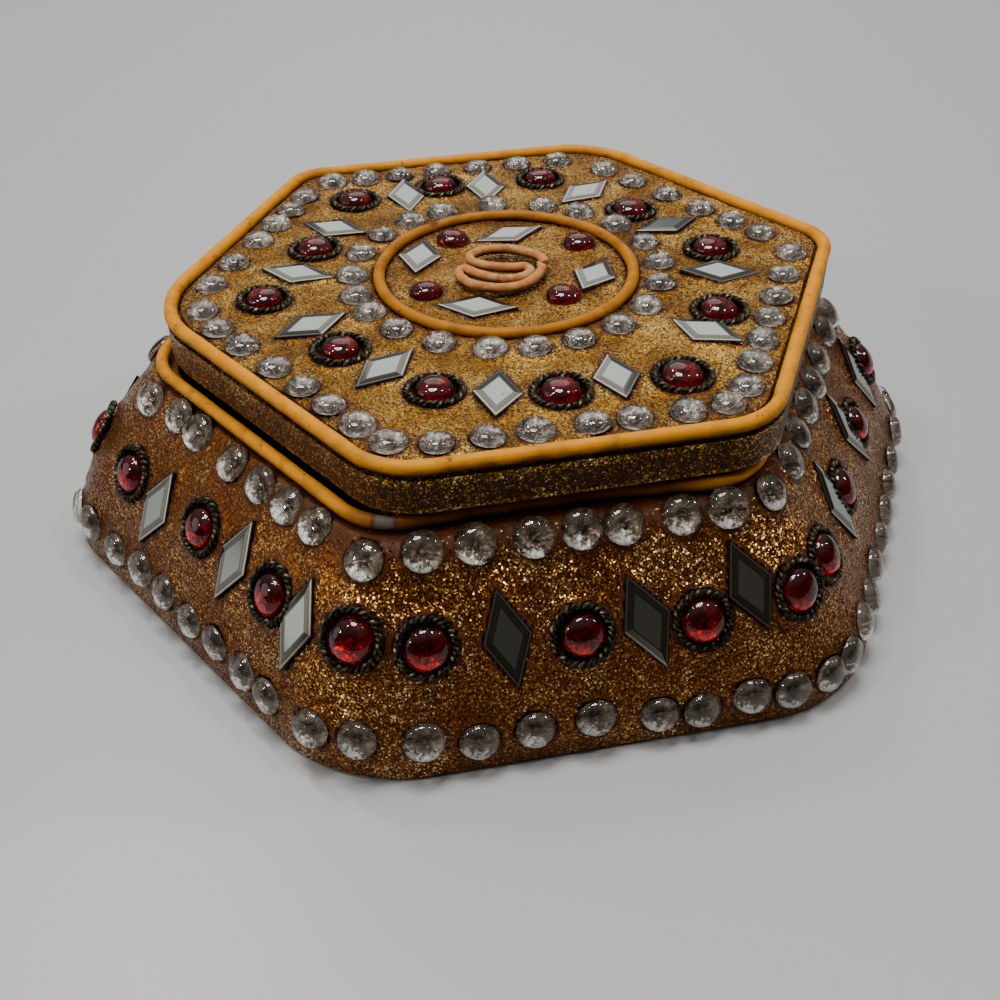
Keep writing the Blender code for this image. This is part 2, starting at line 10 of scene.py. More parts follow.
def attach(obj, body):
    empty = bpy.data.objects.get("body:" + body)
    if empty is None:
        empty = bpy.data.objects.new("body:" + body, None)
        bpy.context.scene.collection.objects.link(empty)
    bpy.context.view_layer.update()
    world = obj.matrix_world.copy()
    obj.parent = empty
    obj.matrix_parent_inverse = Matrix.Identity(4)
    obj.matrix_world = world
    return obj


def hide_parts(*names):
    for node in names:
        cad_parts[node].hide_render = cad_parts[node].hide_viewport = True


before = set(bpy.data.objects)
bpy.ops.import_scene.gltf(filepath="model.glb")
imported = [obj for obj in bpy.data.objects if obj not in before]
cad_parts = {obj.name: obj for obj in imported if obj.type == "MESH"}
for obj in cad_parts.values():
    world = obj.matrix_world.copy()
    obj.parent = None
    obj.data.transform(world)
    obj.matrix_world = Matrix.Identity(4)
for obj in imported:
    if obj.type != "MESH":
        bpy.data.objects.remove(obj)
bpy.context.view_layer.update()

# The body is a hollow six-sided dish of lac, pressed by hand round a former, so no two of its sides or
# corners are quite alike. Its skirt flares to the foot. While the lac was warm, copper and gold glitter
# was rolled into its skin, and the stones were pushed in, each raising a low collar of bare lac.
BODY_HEIGHT = 0.0207
FOOT_DISTANCES = (0.0450, 0.0450, 0.0445, 0.0446, 0.0450, 0.0450)
RIM_DISTANCES = (0.0354, 0.0354, 0.0326, 0.0330, 0.0348, 0.0354)
SKIRT_POWERS = (2.0, 2.0, 1.5, 1.5, 2.0, 2.0)
FOOT_CORNERS = (0.0160, 0.0160, 0.0160, 0.0160, 0.0160, 0.0080)
RIM_CORNER = 0.0090
WALL = 0.0030
FLOOR_THICKNESS = 0.0025
EDGE_ROLL = 0.0005
MOUTH_EDGE = 0.0003
FLOOR_EDGE = 0.0005
SMALLEST_CORNER = 0.0020
SKIRT_POINTS = 100
SKIRT_ROWS = 56
INSIDE_ROWS = 8

# One row of stones to a side: place along it, in shares of half its length, and share of the height
UPPER_ROWS = (
    ((-0.79, 0.947), (-0.53, 0.965), (-0.335, 0.96), (0.0, 0.952), (0.24, 0.952), (0.46, 0.952),
     (0.68, 0.957), (0.99, 0.93)),
    ((-0.74, 0.965), (-0.48, 0.965), (-0.19, 0.96), (0.05, 0.965), (0.26, 0.96), (0.56, 0.965), (0.80, 0.965)),
    ((-0.93, 0.95), (-0.63, 0.935), (-0.38, 0.935), (-0.13, 0.93), (0.11, 0.925), (0.35, 0.93),
     (0.64, 0.935), (0.85, 0.935)),
    ((-0.79, 0.95), (-0.53, 0.94), (-0.335, 0.955), (0.0, 0.95), (0.24, 0.94), (0.46, 0.95),
     (0.68, 0.955), (0.99, 0.95)),
    ((-0.74, 0.95), (-0.48, 0.96), (-0.19, 0.95), (0.05, 0.945), (0.26, 0.955), (0.56, 0.95), (0.80, 0.95)),
    ((-0.80, 0.95), (-0.55, 0.94), (-0.30, 0.95), (-0.06, 0.955), (0.18, 0.945), (0.43, 0.95), (0.68, 0.95)),
)
LOWER_ROWS = (
    ((-1.0, 0.193), (-0.80, 0.235), (-0.55, 0.217), (-0.32, 0.245), (-0.11, 0.24), (0.10, 0.217),
     (0.28, 0.23), (0.47, 0.217), (0.63, 0.213), (0.87, 0.22)),
    ((-0.945, 0.235), (-0.69, 0.225), (-0.48, 0.18), (-0.26, 0.193), (-0.02, 0.205), (0.23, 0.165),
     (0.40, 0.15), (0.61, 0.184), (0.78, 0.17), (0.965, 0.165)),
    ((-0.90, 0.17), (-0.71, 0.20), (-0.51, 0.16), (-0.33, 0.18), (-0.09, 0.14), (0.11, 0.14),
     (0.30, 0.16), (0.49, 0.17), (0.73, 0.188), (0.95, 0.18)),
    ((-1.0, 0.19), (-0.80, 0.20), (-0.55, 0.18), (-0.32, 0.20), (-0.11, 0.19), (0.10, 0.18),
     (0.28, 0.20), (0.47, 0.19), (0.63, 0.18), (0.87, 0.19)),
    ((-0.945, 0.18), (-0.69, 0.19), (-0.48, 0.17), (-0.26, 0.19), (-0.02, 0.18), (0.23, 0.17),
     (0.40, 0.18), (0.61, 0.19), (0.78, 0.17), (0.965, 0.18)),
    ((-0.93, 0.18), (-0.72, 0.19), (-0.50, 0.18), (-0.28, 0.20), (-0.06, 0.19), (0.16, 0.18),
     (0.37, 0.19), (0.58, 0.18), (0.78, 0.20)),
)
# Two of the hidden sides at the back are set like the two seen best
RUBY_ROWS = (
    ((-0.60, 0.64), (0.01, 0.665), (0.55, 0.645), (1.0, 0.66)),
    ((-0.68, 0.63), (-0.02, 0.59), (0.50, 0.575), (0.97, 0.60)),
    ((-0.79, 0.62), (-0.27, 0.60), (0.26, 0.60), (0.80, 0.64)),
)
RUBY_ROWS += RUBY_ROWS[:2] + (((-0.74, 0.62), (-0.18, 0.62), (0.38, 0.62), (0.93, 0.64)),)
# Place along the side, height, and lean of the long axis in degrees
SKIRT_MIRROR_ROWS = (
    ((-0.33, 0.59, 14), (0.28, 0.65, 9), (0.74, 0.62, -3)),
    ((-0.34, 0.62, -6), (0.26, 0.605, -18), (0.75, 0.68, -18)),
    ((-0.42, 0.63, 6), (0.15, 0.645, -3), (0.64, 0.66, 5)),
)
SKIRT_MIRROR_ROWS += SKIRT_MIRROR_ROWS[:2] + (((-0.46, 0.61, 5), (0.10, 0.62, -6), (0.65, 0.61, 4)),)
SKIRT_STONE_RADIUS = 0.00195
WIRE_RING_RADIUS = 0.0030
MIRROR_WIDTH = 0.0048
SKIRT_MIRROR_LENGTH = 0.0098


def side_angle(side):
    """Direction that a side faces: the first faces left and a little forward, the second the front."""
    return math.radians(210 + 60 * side)


def facing(angle):
    """Level direction at an angle from +X."""
    return Vector((math.cos(angle), math.sin(angle)))


def inset(sizes, distance):
    """Distances or radii of an outline that lies further in."""
    return [size - distance for size in sizes]


def corner_centre(distances, radii, corner):
    """Centre of the rounded corner between a side and the next."""
    first, second = side_angle(corner), side_angle(corner + 1)
    near = distances[corner % 6] - radii[corner % 6]
    far = distances[(corner + 1) % 6] - radii[corner % 6]
    cross = math.sin(second - first)
    return Vector(((near * math.sin(second) - far * math.sin(first)) / cross,
                   (far * math.cos(first) - near * math.cos(second)) / cross))


def walk(distances, radii, side, share):
    """Point and facing on a rounded hexagon, at a share of half the side's length from its middle."""
    outward = facing(side_angle(side))
    start, end = [corner_centre(distances, radii, corner) + radii[corner % 6] * outward
                  for corner in (side - 1, side)]
    flat = (end - start).length / 2
    corner = side if share > 0 else side - 1
    radius = radii[corner % 6]
    along = share * (flat + radius * math.radians(30))
    if abs(along) <= flat:
        return (start + end) / 2 + along * (end - start).normalized(), outward
    outward = facing(side_angle(side) + math.copysign((abs(along) - flat) / radius, along))
    return corner_centre(distances, radii, corner) + radius * outward, outward


def outline(distances, radii, height, points):
    """Evenly spaced points on a rounded hexagon, the same number on each side."""
    shares = [(2 * index + 1) / points - 1 for index in range(points)]
    return [Vector((*walk(distances, radii, side, share)[0], height)) for side in range(6) for share in shares]


def skirt_distances(height):
    """Distance of each side from the middle: the skirt sweeps in from the foot to the rim."""
    share = min(max(height / BODY_HEIGHT, 0.0), 1.0)
    return [foot + (rim - foot) * share ** power
            for foot, rim, power in zip(FOOT_DISTANCES, RIM_DISTANCES, SKIRT_POWERS)]


def skirt_corners(height):
    """Radius of each corner, which tightens from the foot to the rim."""
    return [radius + (RIM_CORNER - radius) * height / BODY_HEIGHT for radius in FOOT_CORNERS]


def skirt_frame(side, share, height, turn=0.0):
    """Frame on the skirt: X along the side, Y up the slope and Z out of it."""
    place, outward = walk(skirt_distances(height), skirt_corners(height), side, share)
    step = 0.0001
    lean = (skirt_distances(height + step)[side] - skirt_distances(height - step)[side]) / (2 * step)
    z_axis = Vector((*outward, -lean)).normalized()
    x_axis = Vector((0.0, 0.0, 1.0)).cross(z_axis).normalized()
    axes = Matrix((x_axis, z_axis.cross(x_axis), z_axis)).transposed().to_4x4()
    return Matrix.Translation((*place, height)) @ axes @ Matrix.Rotation(math.radians(turn), 4, "Z")


def start_ring(name, points):
    """A ring of vertices laid on points. Each vertex keeps its number, so that later rings line up."""
    bpy.ops.object.select_all(action="DESELECT")
    bpy.ops.mesh.primitive_circle_add(vertices=len(points), radius=0.04)
    bpy.context.object.name = name
    bpy.ops.object.mode_set(mode="EDIT")
    mesh = bmesh.from_edit_mesh(bpy.context.object.data)
    number = mesh.verts.layers.int.new("number")
    for index, vert in enumerate(mesh.verts):
        vert[number] = index
    lay_ring(points)


def lay_ring(points):
    """Moves the selected ring of vertices onto points, each by its own number."""
    mesh = bmesh.from_edit_mesh(bpy.context.object.data)
    number = mesh.verts.layers.int["number"]
    for vert in mesh.verts:
        if vert.select:
            vert.co = points[vert[number]]
    bmesh.update_edit_mesh(bpy.context.object.data)


def draw_out(points):
    """Extrudes the open edge and lays it on the next ring of points."""
    bpy.ops.mesh.extrude_region_move()
    lay_ring(points)


def close_shell():
    """Fills the open ends of the shell, and turns all its faces outwards."""
    bpy.ops.mesh.select_all(action="SELECT")
    bpy.ops.mesh.fill_holes(sides=0)
    bpy.ops.mesh.select_all(action="SELECT")
    bpy.ops.mesh.normals_make_consistent(inside=False)
    bpy.ops.object.mode_set(mode="OBJECT")
    return bpy.context.object


skirt_stones = [skirt_frame(side, share, level * BODY_HEIGHT)
                for rows in (UPPER_ROWS, LOWER_ROWS) for side, row in enumerate(rows) for share, level in row]
skirt_rubies = [skirt_frame(side, share, level * BODY_HEIGHT)
                for side, row in enumerate(RUBY_ROWS) for share, level in row]
skirt_mirrors = [skirt_frame(side, share, level * BODY_HEIGHT, -lean)
                 for side, row in enumerate(SKIRT_MIRROR_ROWS) for share, level, lean in row]

start_ring("lac_body", outline(inset(FOOT_DISTANCES, EDGE_ROLL), inset(FOOT_CORNERS, EDGE_ROLL), 0.0, SKIRT_POINTS))
for row in range(SKIRT_ROWS + 1):
    rise = EDGE_ROLL * 0.5 + (BODY_HEIGHT - EDGE_ROLL * 0.5) * row / SKIRT_ROWS
    draw_out(outline(skirt_distances(rise), skirt_corners(rise), rise, SKIRT_POINTS))
for depth in (0.0006, 0.0018, WALL - MOUTH_EDGE):
    draw_out(outline(inset(RIM_DISTANCES, depth), [RIM_CORNER - depth] * 6, BODY_HEIGHT, SKIRT_POINTS))
inside_depth = BODY_HEIGHT - FLOOR_THICKNESS - (MOUTH_EDGE + FLOOR_EDGE)
for row in range(INSIDE_ROWS + 1):
    fall = BODY_HEIGHT - MOUTH_EDGE - inside_depth * row / INSIDE_ROWS
    draw_out(outline(inset(skirt_distances(fall), WALL), inset(skirt_corners(fall), WALL), fall, SKIRT_POINTS))
for depth in (0.0006, 0.004, 0.012, 0.022, 0.032):
    radii = [max(radius - WALL - depth, SMALLEST_CORNER) for radius in skirt_corners(FLOOR_THICKNESS)]
    draw_out(outline(inset(skirt_distances(FLOOR_THICKNESS), WALL + depth), radii, FLOOR_THICKNESS, SKIRT_POINTS))
lac_body = close_shell()


def points_of(piece):
    """Places of a piece's vertices, one row for each."""
    coordinates = np.empty(len(piece.data.vertices) * 3)
    piece.data.vertices.foreach_get("co", coordinates)
    return coordinates.reshape(-1, 3)


def normals_of(piece):
    """Outward directions at a piece's vertices, one row for each."""
    directions = np.empty(len(piece.data.vertices) * 3)
    piece.data.vertices.foreach_get("normal", directions)
    return directions.reshape(-1, 3)


def marks_of(piece, name):
    """Values of a mark at a piece's vertices."""
    values = np.empty(len(piece.data.vertices))
    piece.data.attributes[name].data.foreach_get("value", values)
    return values


def mark(piece, name, values):
    """Gives each vertex a value that the materials read: how bare the lac is there, and on cords their painted shade
    and chips.
    """
    layers = piece.data.attributes
    layer = layers[name] if name in layers else layers.new(name, "FLOAT", "POINT")
    layer.data.foreach_set("value", values)


def lumps(points, size, seed):
    """Smooth unevenness between -1 and 1, with lumps of a size."""
    shift = Vector((seed, seed * 0.37, -seed))
    return np.array([noise.noise(Vector(point) / size + shift) for point in points])


STONE_REACH = 0.0022
COLLAR_OFFSET = 0.00012
COLLAR_SPREAD = 0.00040
SEAT_START = -0.0001
SEAT_SLOPE = 0.0003
BARE_WIDTH = 0.00042


def round_edge(places, radius):
    """Distance of points, given in the frame of a stone, from its edge: negative inside."""
    return np.hypot(places[:, 0], places[:, 1]) - radius


def rhombus_edge(places, length):
    """The same for a mirror of a length."""
    reach = np.abs(places[:, 0]) / (MIRROR_WIDTH / 2) + np.abs(places[:, 1]) / (length / 2) - 1
    return reach * length * MIRROR_WIDTH / (2 * math.hypot(length, MIRROR_WIDTH))


def edge_distances(points, frames, edge, size):
    """Distance of each point from the edge of the nearest stone of a kind."""
    nearest = np.full(len(points), 1.0)
    for place in frames:
        inverse = np.array(place.inverted())
        local = points @ inverse[:3, :3].T + inverse[:3, 3]
        close = np.abs(local[:, 2]) < STONE_REACH
        nearest[close] = np.minimum(nearest[close], edge(local[close], size))
    return nearest


def press_stones(piece, shown, seated, kinds, collar, seat):
    """Presses stones into a lac skin. Each raises a collar round it, where the lac stays bare."""
    points, directions = points_of(piece), normals_of(piece)
    edges = np.full(len(points), 1.0)
    for frames, edge, size in kinds:
        edges = np.minimum(edges, edge_distances(points, frames, edge, size))
    uneven = lumps(points, 0.0042, 3.0) * 0.00012 + lumps(points, 0.0013, 8.0) * 0.00005
    ragged = edges + lumps(points, 0.0009, 5.0) * 0.00018
    raised = collar * np.exp(-((edges - COLLAR_OFFSET) / COLLAR_SPREAD) ** 2)
    sunk = -seat * np.clip((SEAT_START - edges) / SEAT_SLOPE, 0, 1)
    shift = np.where(edges > SEAT_START, raised + uneven, collar * 0.8 + uneven) * shown
    shift = np.where(edges > SEAT_START, shift, shift + sunk * seated)
    points += directions * shift[:, None]
    piece.data.vertices.foreach_set("co", points.ravel())
    mark(piece, "bare", np.clip(1.25 - ragged / BARE_WIDTH, 0, 1))
    piece.data.update()


# Only the outside takes stones, and its foot and rim stay true
skin = points_of(lac_body)
outside = np.clip((skin[:, 2] - 0.0004) / 0.0006, 0, 1) * ((normals_of(lac_body)[:, :2] * skin[:, :2]).sum(1) > 0)
below_rim = np.clip((BODY_HEIGHT - 0.0001 - skin[:, 2]) / 0.0004, 0, 1)
press_stones(lac_body, outside * below_rim, outside, (
    (skirt_stones, round_edge, SKIRT_STONE_RADIUS),
    (skirt_rubies, round_edge, WIRE_RING_RADIUS),
    (skirt_mirrors, rhombus_edge, SKIRT_MIRROR_LENGTH),
), collar=0.00022, seat=0.0010)

# Under the cord the lac stays bare, in a ragged band that widens at the front
BAND_FRONT_WIDTH = 0.0015
at_front = np.clip((-0.020 - skin[:, 1]) / 0.008, 0, 1)
bare_band = -0.0002 + BAND_FRONT_WIDTH * at_front + lumps(skin, 0.0022, 6.0) * 0.0005
under_cord = np.clip((skin[:, 2] - BODY_HEIGHT + bare_band) / 0.0003, 0, 1) * 0.9
mark(lac_body, "bare", np.maximum(marks_of(lac_body, "bare"), under_cord))


class Recipe:
    """A material that is put together node by node round its main shader."""

    def __init__(self, name):
        self.material = bpy.data.materials.new(name)
        self.material.use_nodes = True
        self.nodes = self.material.node_tree.nodes
        self.shader = self.nodes["Principled BSDF"]
        self.place = self.nodes.new("ShaderNodeTexCoord").outputs["Object"]

    def add(self, kind, settings=(), **sockets):
        """Adds a node. A socket takes a value or the output of another node."""
        node = self.nodes.new("ShaderNode" + kind)
        for name, value in dict(settings).items():
            setattr(node, name, value)
        for name, value in sockets.items():
            self.set(node, name, value)
        return node

    def set(self, node, name, value):
        """Sets or links a socket. It is named with _ for each space, or _ and its number."""
        socket = node.inputs[int(name[1:])] if name[0] == "_" else node.inputs[name.replace("_", " ")]
        if isinstance(value, bpy.types.NodeSocket):
            self.material.node_tree.links.new(value, socket)
        else:
            socket.default_value = value

    def finish(self, **sockets):
        """Sets the main shader's sockets, and returns the material."""
        for name, value in sockets.items():
            self.set(self.shader, name, value)
        return self.material

    def grain(self, scale, detail=3.0, roughness=0.55, place=None):
        """Noise over the piece, or over another vector."""
        vector = self.place if place is None else place
        return self.add("TexNoise", Vector=vector, Scale=scale, Detail=detail, Roughness=roughness).outputs["Fac"]

    def span(self, value, low, high):
        """Stretches a value from 0..1 to low..high."""
        return self.add("MapRange", Value=value, To_Min=low, To_Max=high).outputs["Result"]

    def vector(self, operation, first, second):
        """Vector sum, difference or product of two sockets."""
        return self.add("VectorMath", {"operation": operation}, _0=first, _1=second).outputs[0]

    def multiply(self, first, second):
        """One colour darkened by another."""
        return self.add("Mix", {"data_type": "RGBA", "blend_type": "MULTIPLY"}, _0=1.0, _6=first, _7=second).outputs[2]

    def ramp(self, value, *stops):
        """Colour ramp: each stop is a place and a colour."""
        node = self.add("ValToRGB", Fac=value)
        elements = node.color_ramp.elements
        while len(elements) < len(stops):
            elements.new(0.5)
        for element, (place, colour) in zip(elements, stops):
            element.position = place
            element.color = (*colour, 1.0)
        return node.outputs["Color"]

    def sum(self, operation, first, second, clamp=False):
        """Arithmetic on two values."""
        settings = {"operation": operation, "use_clamp": clamp}
        return self.add("Math", settings, _0=first, _1=second).outputs["Value"]

    def blend(self, share, first, second):
        """Goes from one colour to another with a share."""
        return self.add("Mix", {"data_type": "RGBA"}, _0=share, _6=first, _7=second).outputs[2]

    def bump(self, height, strength, distance, normal=None):
        """Surface unevenness, on top of another if one is given."""
        node = self.add("Bump", Height=height, Strength=strength, Distance=distance)
        if normal is not None:
            self.set(node, "Normal", normal)
        return node.outputs["Normal"]


def glitter_lac(name, flakes, bare_lac, density, shine, patches):
    """Lac with small metal flakes in its skin, each lying at its own tilt. Where it is bare, it has none."""
    made = Recipe(name)
    cells = made.add("TexVoronoi", Vector=made.place, Scale=6900.0, Randomness=1.0)
    split = made.add("SeparateColor", Color=cells.outputs["Color"])
    bare = made.add("Attribute", {"attribute_name": "bare"}).outputs["Fac"]
    tone = made.sum("MULTIPLY", made.sum("SUBTRACT", made.grain(170.0), 0.5), patches)
    shade = made.sum("ADD", split.outputs["Green"], tone)
    flake_colour = made.ramp(shade, *flakes)
    there = made.sum("LESS_THAN", split.outputs["Red"], density)
    spared = made.sum("SUBTRACT", 1.0, bare, clamp=True)
    there = made.sum("MULTIPLY", there, made.sum("GREATER_THAN", spared, split.outputs["Blue"]))
    stain = made.ramp(made.grain(600.0), (0.35, bare_lac), (0.75, tuple(1.8 * part for part in bare_lac)))
    tilt = made.vector("SUBTRACT", cells.outputs["Color"], (0.5, 0.5, 0.5))
    tilt = made.add("VectorMath", {"operation": "SCALE"}, _0=tilt, Scale=made.sum("MULTIPLY", there, shine)).outputs[0]
    surface = made.bump(made.grain(1400.0, 4.0), 0.5, 0.0002)
    leaning = made.vector("ADD", surface, tilt)
    normal = made.add("VectorMath", {"operation": "NORMALIZE"}, _0=leaning).outputs[0]
    return made.finish(
        Base_Color=made.blend(there, stain, flake_colour),
        Metallic=made.sum("MULTIPLY", there, 0.85),
        Roughness=made.span(there, 0.50, 0.28),
        Specular_IOR_Level=0.12,
        Normal=normal,
    )


# Flakes: where each colour stands on the ramp from the darkest to the brightest
skirt_lac = glitter_lac(
    "skirt_glitter_lac",
    flakes=((0.15, (0.052, 0.011, 0.001)), (0.50, (0.135, 0.037, 0.004)), (0.76, (0.32, 0.118, 0.014)),
            (0.92, (0.58, 0.30, 0.06)), (1.0, (0.95, 0.74, 0.36))),
    bare_lac=(0.042, 0.0115, 0.0026), density=0.82, shine=0.66, patches=0.60)
inner = Recipe("inner_lac")
inner_lac = inner.finish(
    Base_Color=inner.ramp(inner.grain(260.0), (0.3, (0.075, 0.022, 0.010)), (0.7, (0.13, 0.04, 0.016))),
    Roughness=inner.span(inner.grain(500.0), 0.35, 0.6),
    Normal=inner.bump(inner.grain(350.0, 5.0), 0.4, 0.0004),
)


def choose(*pieces):
    """Selects pieces and nothing else, the first of them active."""
    bpy.ops.object.select_all(action="DESELECT")
    for piece in pieces:
        piece.select_set(True)
    bpy.context.view_layer.objects.active = pieces[0]


def dress(piece, *materials, crease=40):
    """Gives a finished piece its materials, rounds its shading, and lets it ride on the box."""
    for material in materials:
        piece.data.materials.append(material)
    choose(piece)
    bpy.ops.object.shade_smooth_by_angle(angle=math.radians(crease))
    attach(piece, "root")


dress(lac_body, skirt_lac, inner_lac)
for polygon in lac_body.data.polygons:
    inward = polygon.normal.xy.dot(polygon.center.xy) < 0 or len(polygon.vertices) > 4
    inside = inward and polygon.center.z < BODY_HEIGHT - 0.0001
    on_floor = polygon.normal.z > 0.99 and polygon.center.z < FLOOR_THICKNESS + 0.001
    underneath = polygon.normal.z < -0.99
    polygon.material_index = int(inside or on_floor or underneath)
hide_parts("box_body")

# The cord round the mouth is a thin roll of orange lac, laid warm on the rim. It runs dull and dark in the
# shade of the lid, and at the left front corner a crumb of it has broken off and left a bare grey spot.
MOUTH_CORD_RADIUS = 0.000675
MOUTH_CORD_INSET = 0.0012
MOUTH_CORD_HEIGHT = BODY_HEIGHT + 0.0003 + MOUTH_CORD_RADIUS
CORD_POINTS = 60
FRONT_SHIFT = 0.0010
FRONT_SHIFT_MIDDLE = -0.004
FRONT_SHIFT_REACH = 0.013
SPOT_PLACE = -0.96
SPOT_RADIUS = 0.0008


def lay_cord(name, course, radius, sides=14, closed=True, unevenness=0.06):
    """A cord of lac rolled along a course: a bevelled line made a mesh, and pressed a little out of round.

    Its underside is darkened with painted shade: the mark runs up to 1, and 2 is a spot where the lac has come off.
    The ends of an open cord are pinched."""
    line = bpy.data.curves.new(name, "CURVE")
    line.dimensions = "3D"
    line.bevel_depth = radius
    line.bevel_resolution = (sides - 4) // 2
    line.use_fill_caps = not closed
    run = line.splines.new("POLY")
    run.points.add(len(course) - 1)
    for index, (knot, place) in enumerate(zip(run.points, course)):
        knot.co = (*place, 1.0)
        knot.radius = 1.0 if closed else min(1.0, 0.55 + 0.15 * min(index, len(course) - 1 - index))
    run.use_cyclic_u = closed
    piece = bpy.data.objects.new(name, line)
    bpy.context.scene.collection.objects.link(piece)
    choose(piece)
    bpy.ops.object.convert(target="MESH")
    points = points_of(piece)
    shift = lumps(points, 0.0035, 12.0) * unevenness + lumps(points, 0.0011, 4.0) * unevenness * 0.5
    points += normals_of(piece) * (shift * radius)[:, None]
    piece.data.vertices.foreach_set("co", points.ravel())
    # Painted shade: the underside of the cord is marked to darken, with a ragged edge
    ragged = -normals_of(piece)[:, 2] + lumps(points, 0.0016, 9.0) * 0.35
    mark(piece, "shade_and_chip", np.clip((ragged + 0.12) / 0.5, 0, 1))
    piece.data.update()
    return piece


def cord_lac(name, colour, worn, worn_share):
    """Satin lac, mottled, with rubbed patches, painted shade where its mark runs to 1, and a bare grey spot where the
    mark reaches 2.
    """
    made = Recipe(name)
    shade_and_chip = made.add("Attribute", {"attribute_name": "shade_and_chip"}).outputs["Fac"]
    dark = tuple(part * 0.62 for part in colour)
    light = tuple(min(part * 1.22, 1.0) for part in colour)
    body = made.ramp(made.grain(420.0, 4.0), (0.28, dark), (0.50, colour), (0.78, light))
    rubbed = made.ramp(made.grain(900.0, 5.0, 0.65), (worn_share, (0.0, 0.0, 0.0)), (worn_share + 0.06, (1.0,) * 3))
    # Painted shade: where the mark runs to 1 the lac is blended to dark red-brown, and where it reaches 2 to bare grey
    shaded_and_chipped = made.blend(made.sum("MULTIPLY", shade_and_chip, 1.0, clamp=True), made.blend(rubbed, body, (*worn, 1.0)),
                         (0.085, 0.014, 0.002, 1.0))
    return made.finish(
        Base_Color=made.blend(made.sum("SUBTRACT", shade_and_chip, 1.0, clamp=True), shaded_and_chipped, (0.11, 0.090, 0.080, 1.0)),
        Roughness=made.span(made.grain(700.0), 0.38, 0.58),
        Specular_IOR_Level=0.12,
        Normal=made.bump(made.grain(1300.0, 4.0), 0.35, 0.00015),
    )


orange_lac = cord_lac("orange_cord_lac", (0.47, 0.180, 0.0015), (0.20, 0.052, 0.003), 0.62)
mouth_line = inset(RIM_DISTANCES, MOUTH_CORD_INSET), [RIM_CORNER - MOUTH_CORD_INSET] * 6
mouth_course = outline(*mouth_line, MOUTH_CORD_HEIGHT, CORD_POINTS)
for place in mouth_course:
    if place.y < 0:
        place.y += FRONT_SHIFT * math.exp(-((place.x - FRONT_SHIFT_MIDDLE) / FRONT_SHIFT_REACH) ** 4)
mouth_cord = lay_cord("mouth_cord_lac", mouth_course, MOUTH_CORD_RADIUS)
# Painted shade: the front, in the shadow of the lid, and the underside are darkened
cord_skin = points_of(mouth_cord)
lid_shade = (cord_skin[:, 1] < -0.027) * np.clip((0.016 - cord_skin[:, 0]) / 0.008, 0, 1)
lid_shade *= np.clip((cord_skin[:, 0] + 0.023) / 0.004, 0, 1)
underneath = np.clip((0.1 - normals_of(mouth_cord)[:, 2]) / 0.6, 0, 1)
bare_spot = walk(*mouth_line, 1, SPOT_PLACE)[0]
from_spot = np.hypot(cord_skin[:, 0] - bare_spot.x, cord_skin[:, 1] - bare_spot.y)
from_spot += lumps(cord_skin, 0.0007, 2.0) * 0.0006
mark(mouth_cord, "shade_and_chip", np.where(from_spot < SPOT_RADIUS, 2.0, np.maximum(lid_shade * 0.85, underneath * 0.7)))
dress(mouth_cord, orange_lac)
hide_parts("mouth_cord")

# The lid is a plate of the same lac with a flange below that drops into the mouth. Its top is thick with
# gold glitter, and stones stand in it all round. Its edge is cut back a little to bed a cord of lac.
LID_DISTANCE = 0.0336
LID_DISTANCES = (0.0334, 0.0344, 0.0329, 0.0331, 0.0333, 0.0341)
LID_CORNERS = (0.0080, 0.0080, 0.0060, 0.0110, 0.0055, 0.0130)
LID_BOTTOM = 0.02265
LID_TOP = 0.02755
LID_PLATE = 0.0025
LID_PLAY = 0.0006
FLANGE_DEPTH = 0.0025
FLANGE_WALL = 0.0018
EDGE_CORD_RADIUS = 0.00075
EDGE_CORD_INSET = 0.00055
REBATE_INSET = EDGE_CORD_INSET + EDGE_CORD_RADIUS + 0.0003
REBATE_DEPTH = EDGE_CORD_RADIUS + 0.0003
LID_EDGE = 0.0003
GROOVE_DEPTH = 0.0007
BAND_REACH = 0.0320
UNDERSIDE_REACH = 0.0315
CENTRE_RUBY_RADIUS = 0.0018
LID_POINTS = 70
LID_RINGS = 84
BAND_ROWS = 8

# How far in the border row stands on each side, and its stones' places along the sides
BORDER_INSETS = (0.0034, 0.0036, 0.0039, 0.0054, 0.0042, 0.0040)
BORDER_TIGHTENING = 0.0030
BORDER_ROWS = (
    (-0.94, -0.70, -0.45, -0.14, 0.14, 0.41, 0.69, 0.95),
    (-0.77, -0.48, -0.20, 0.13, 0.38, 0.70, 0.95),
    (-0.83, -0.56, -0.30, -0.03, 0.25, 0.57, 0.91),
    (-0.71, -0.44, -0.14, 0.17, 0.48, 0.75),
    (-0.88, -0.58, -0.29, 0.01, 0.33, 0.62, 0.90),
    (-0.71, -0.43, -0.15, 0.13, 0.45, 0.74),
)
RING_CENTRE = Vector((0.0, 0.0007, LID_TOP))
RING_RADIUS = 0.0140
RING_CORD_RADIUS = 0.0007
RING_SINK = 0.0006
ROSETTE_PLACE = Vector((-0.0006, -0.0002, LID_TOP))
LID_STONE_RADIUS = 0.0017
INNER_ROW_RADIUS = 0.0170
INNER_ROW_ANGLES = (
    10, 29, 47, 63, 84, 105, 120, 136, 153, 171, 187, 201, 217, 235, 253, 268, 284, 301, 318, 336, 353)
# Angle, and share of the lid's half width
LID_RUBIES = (
    (1, 0.70), (35, 0.64), (69, 0.76), (98, 0.735), (122, 0.80), (152, 0.68),
    (180, 0.79), (212, 0.69), (242, 0.74), (270, 0.74), (296, 0.82), (326, 0.71))
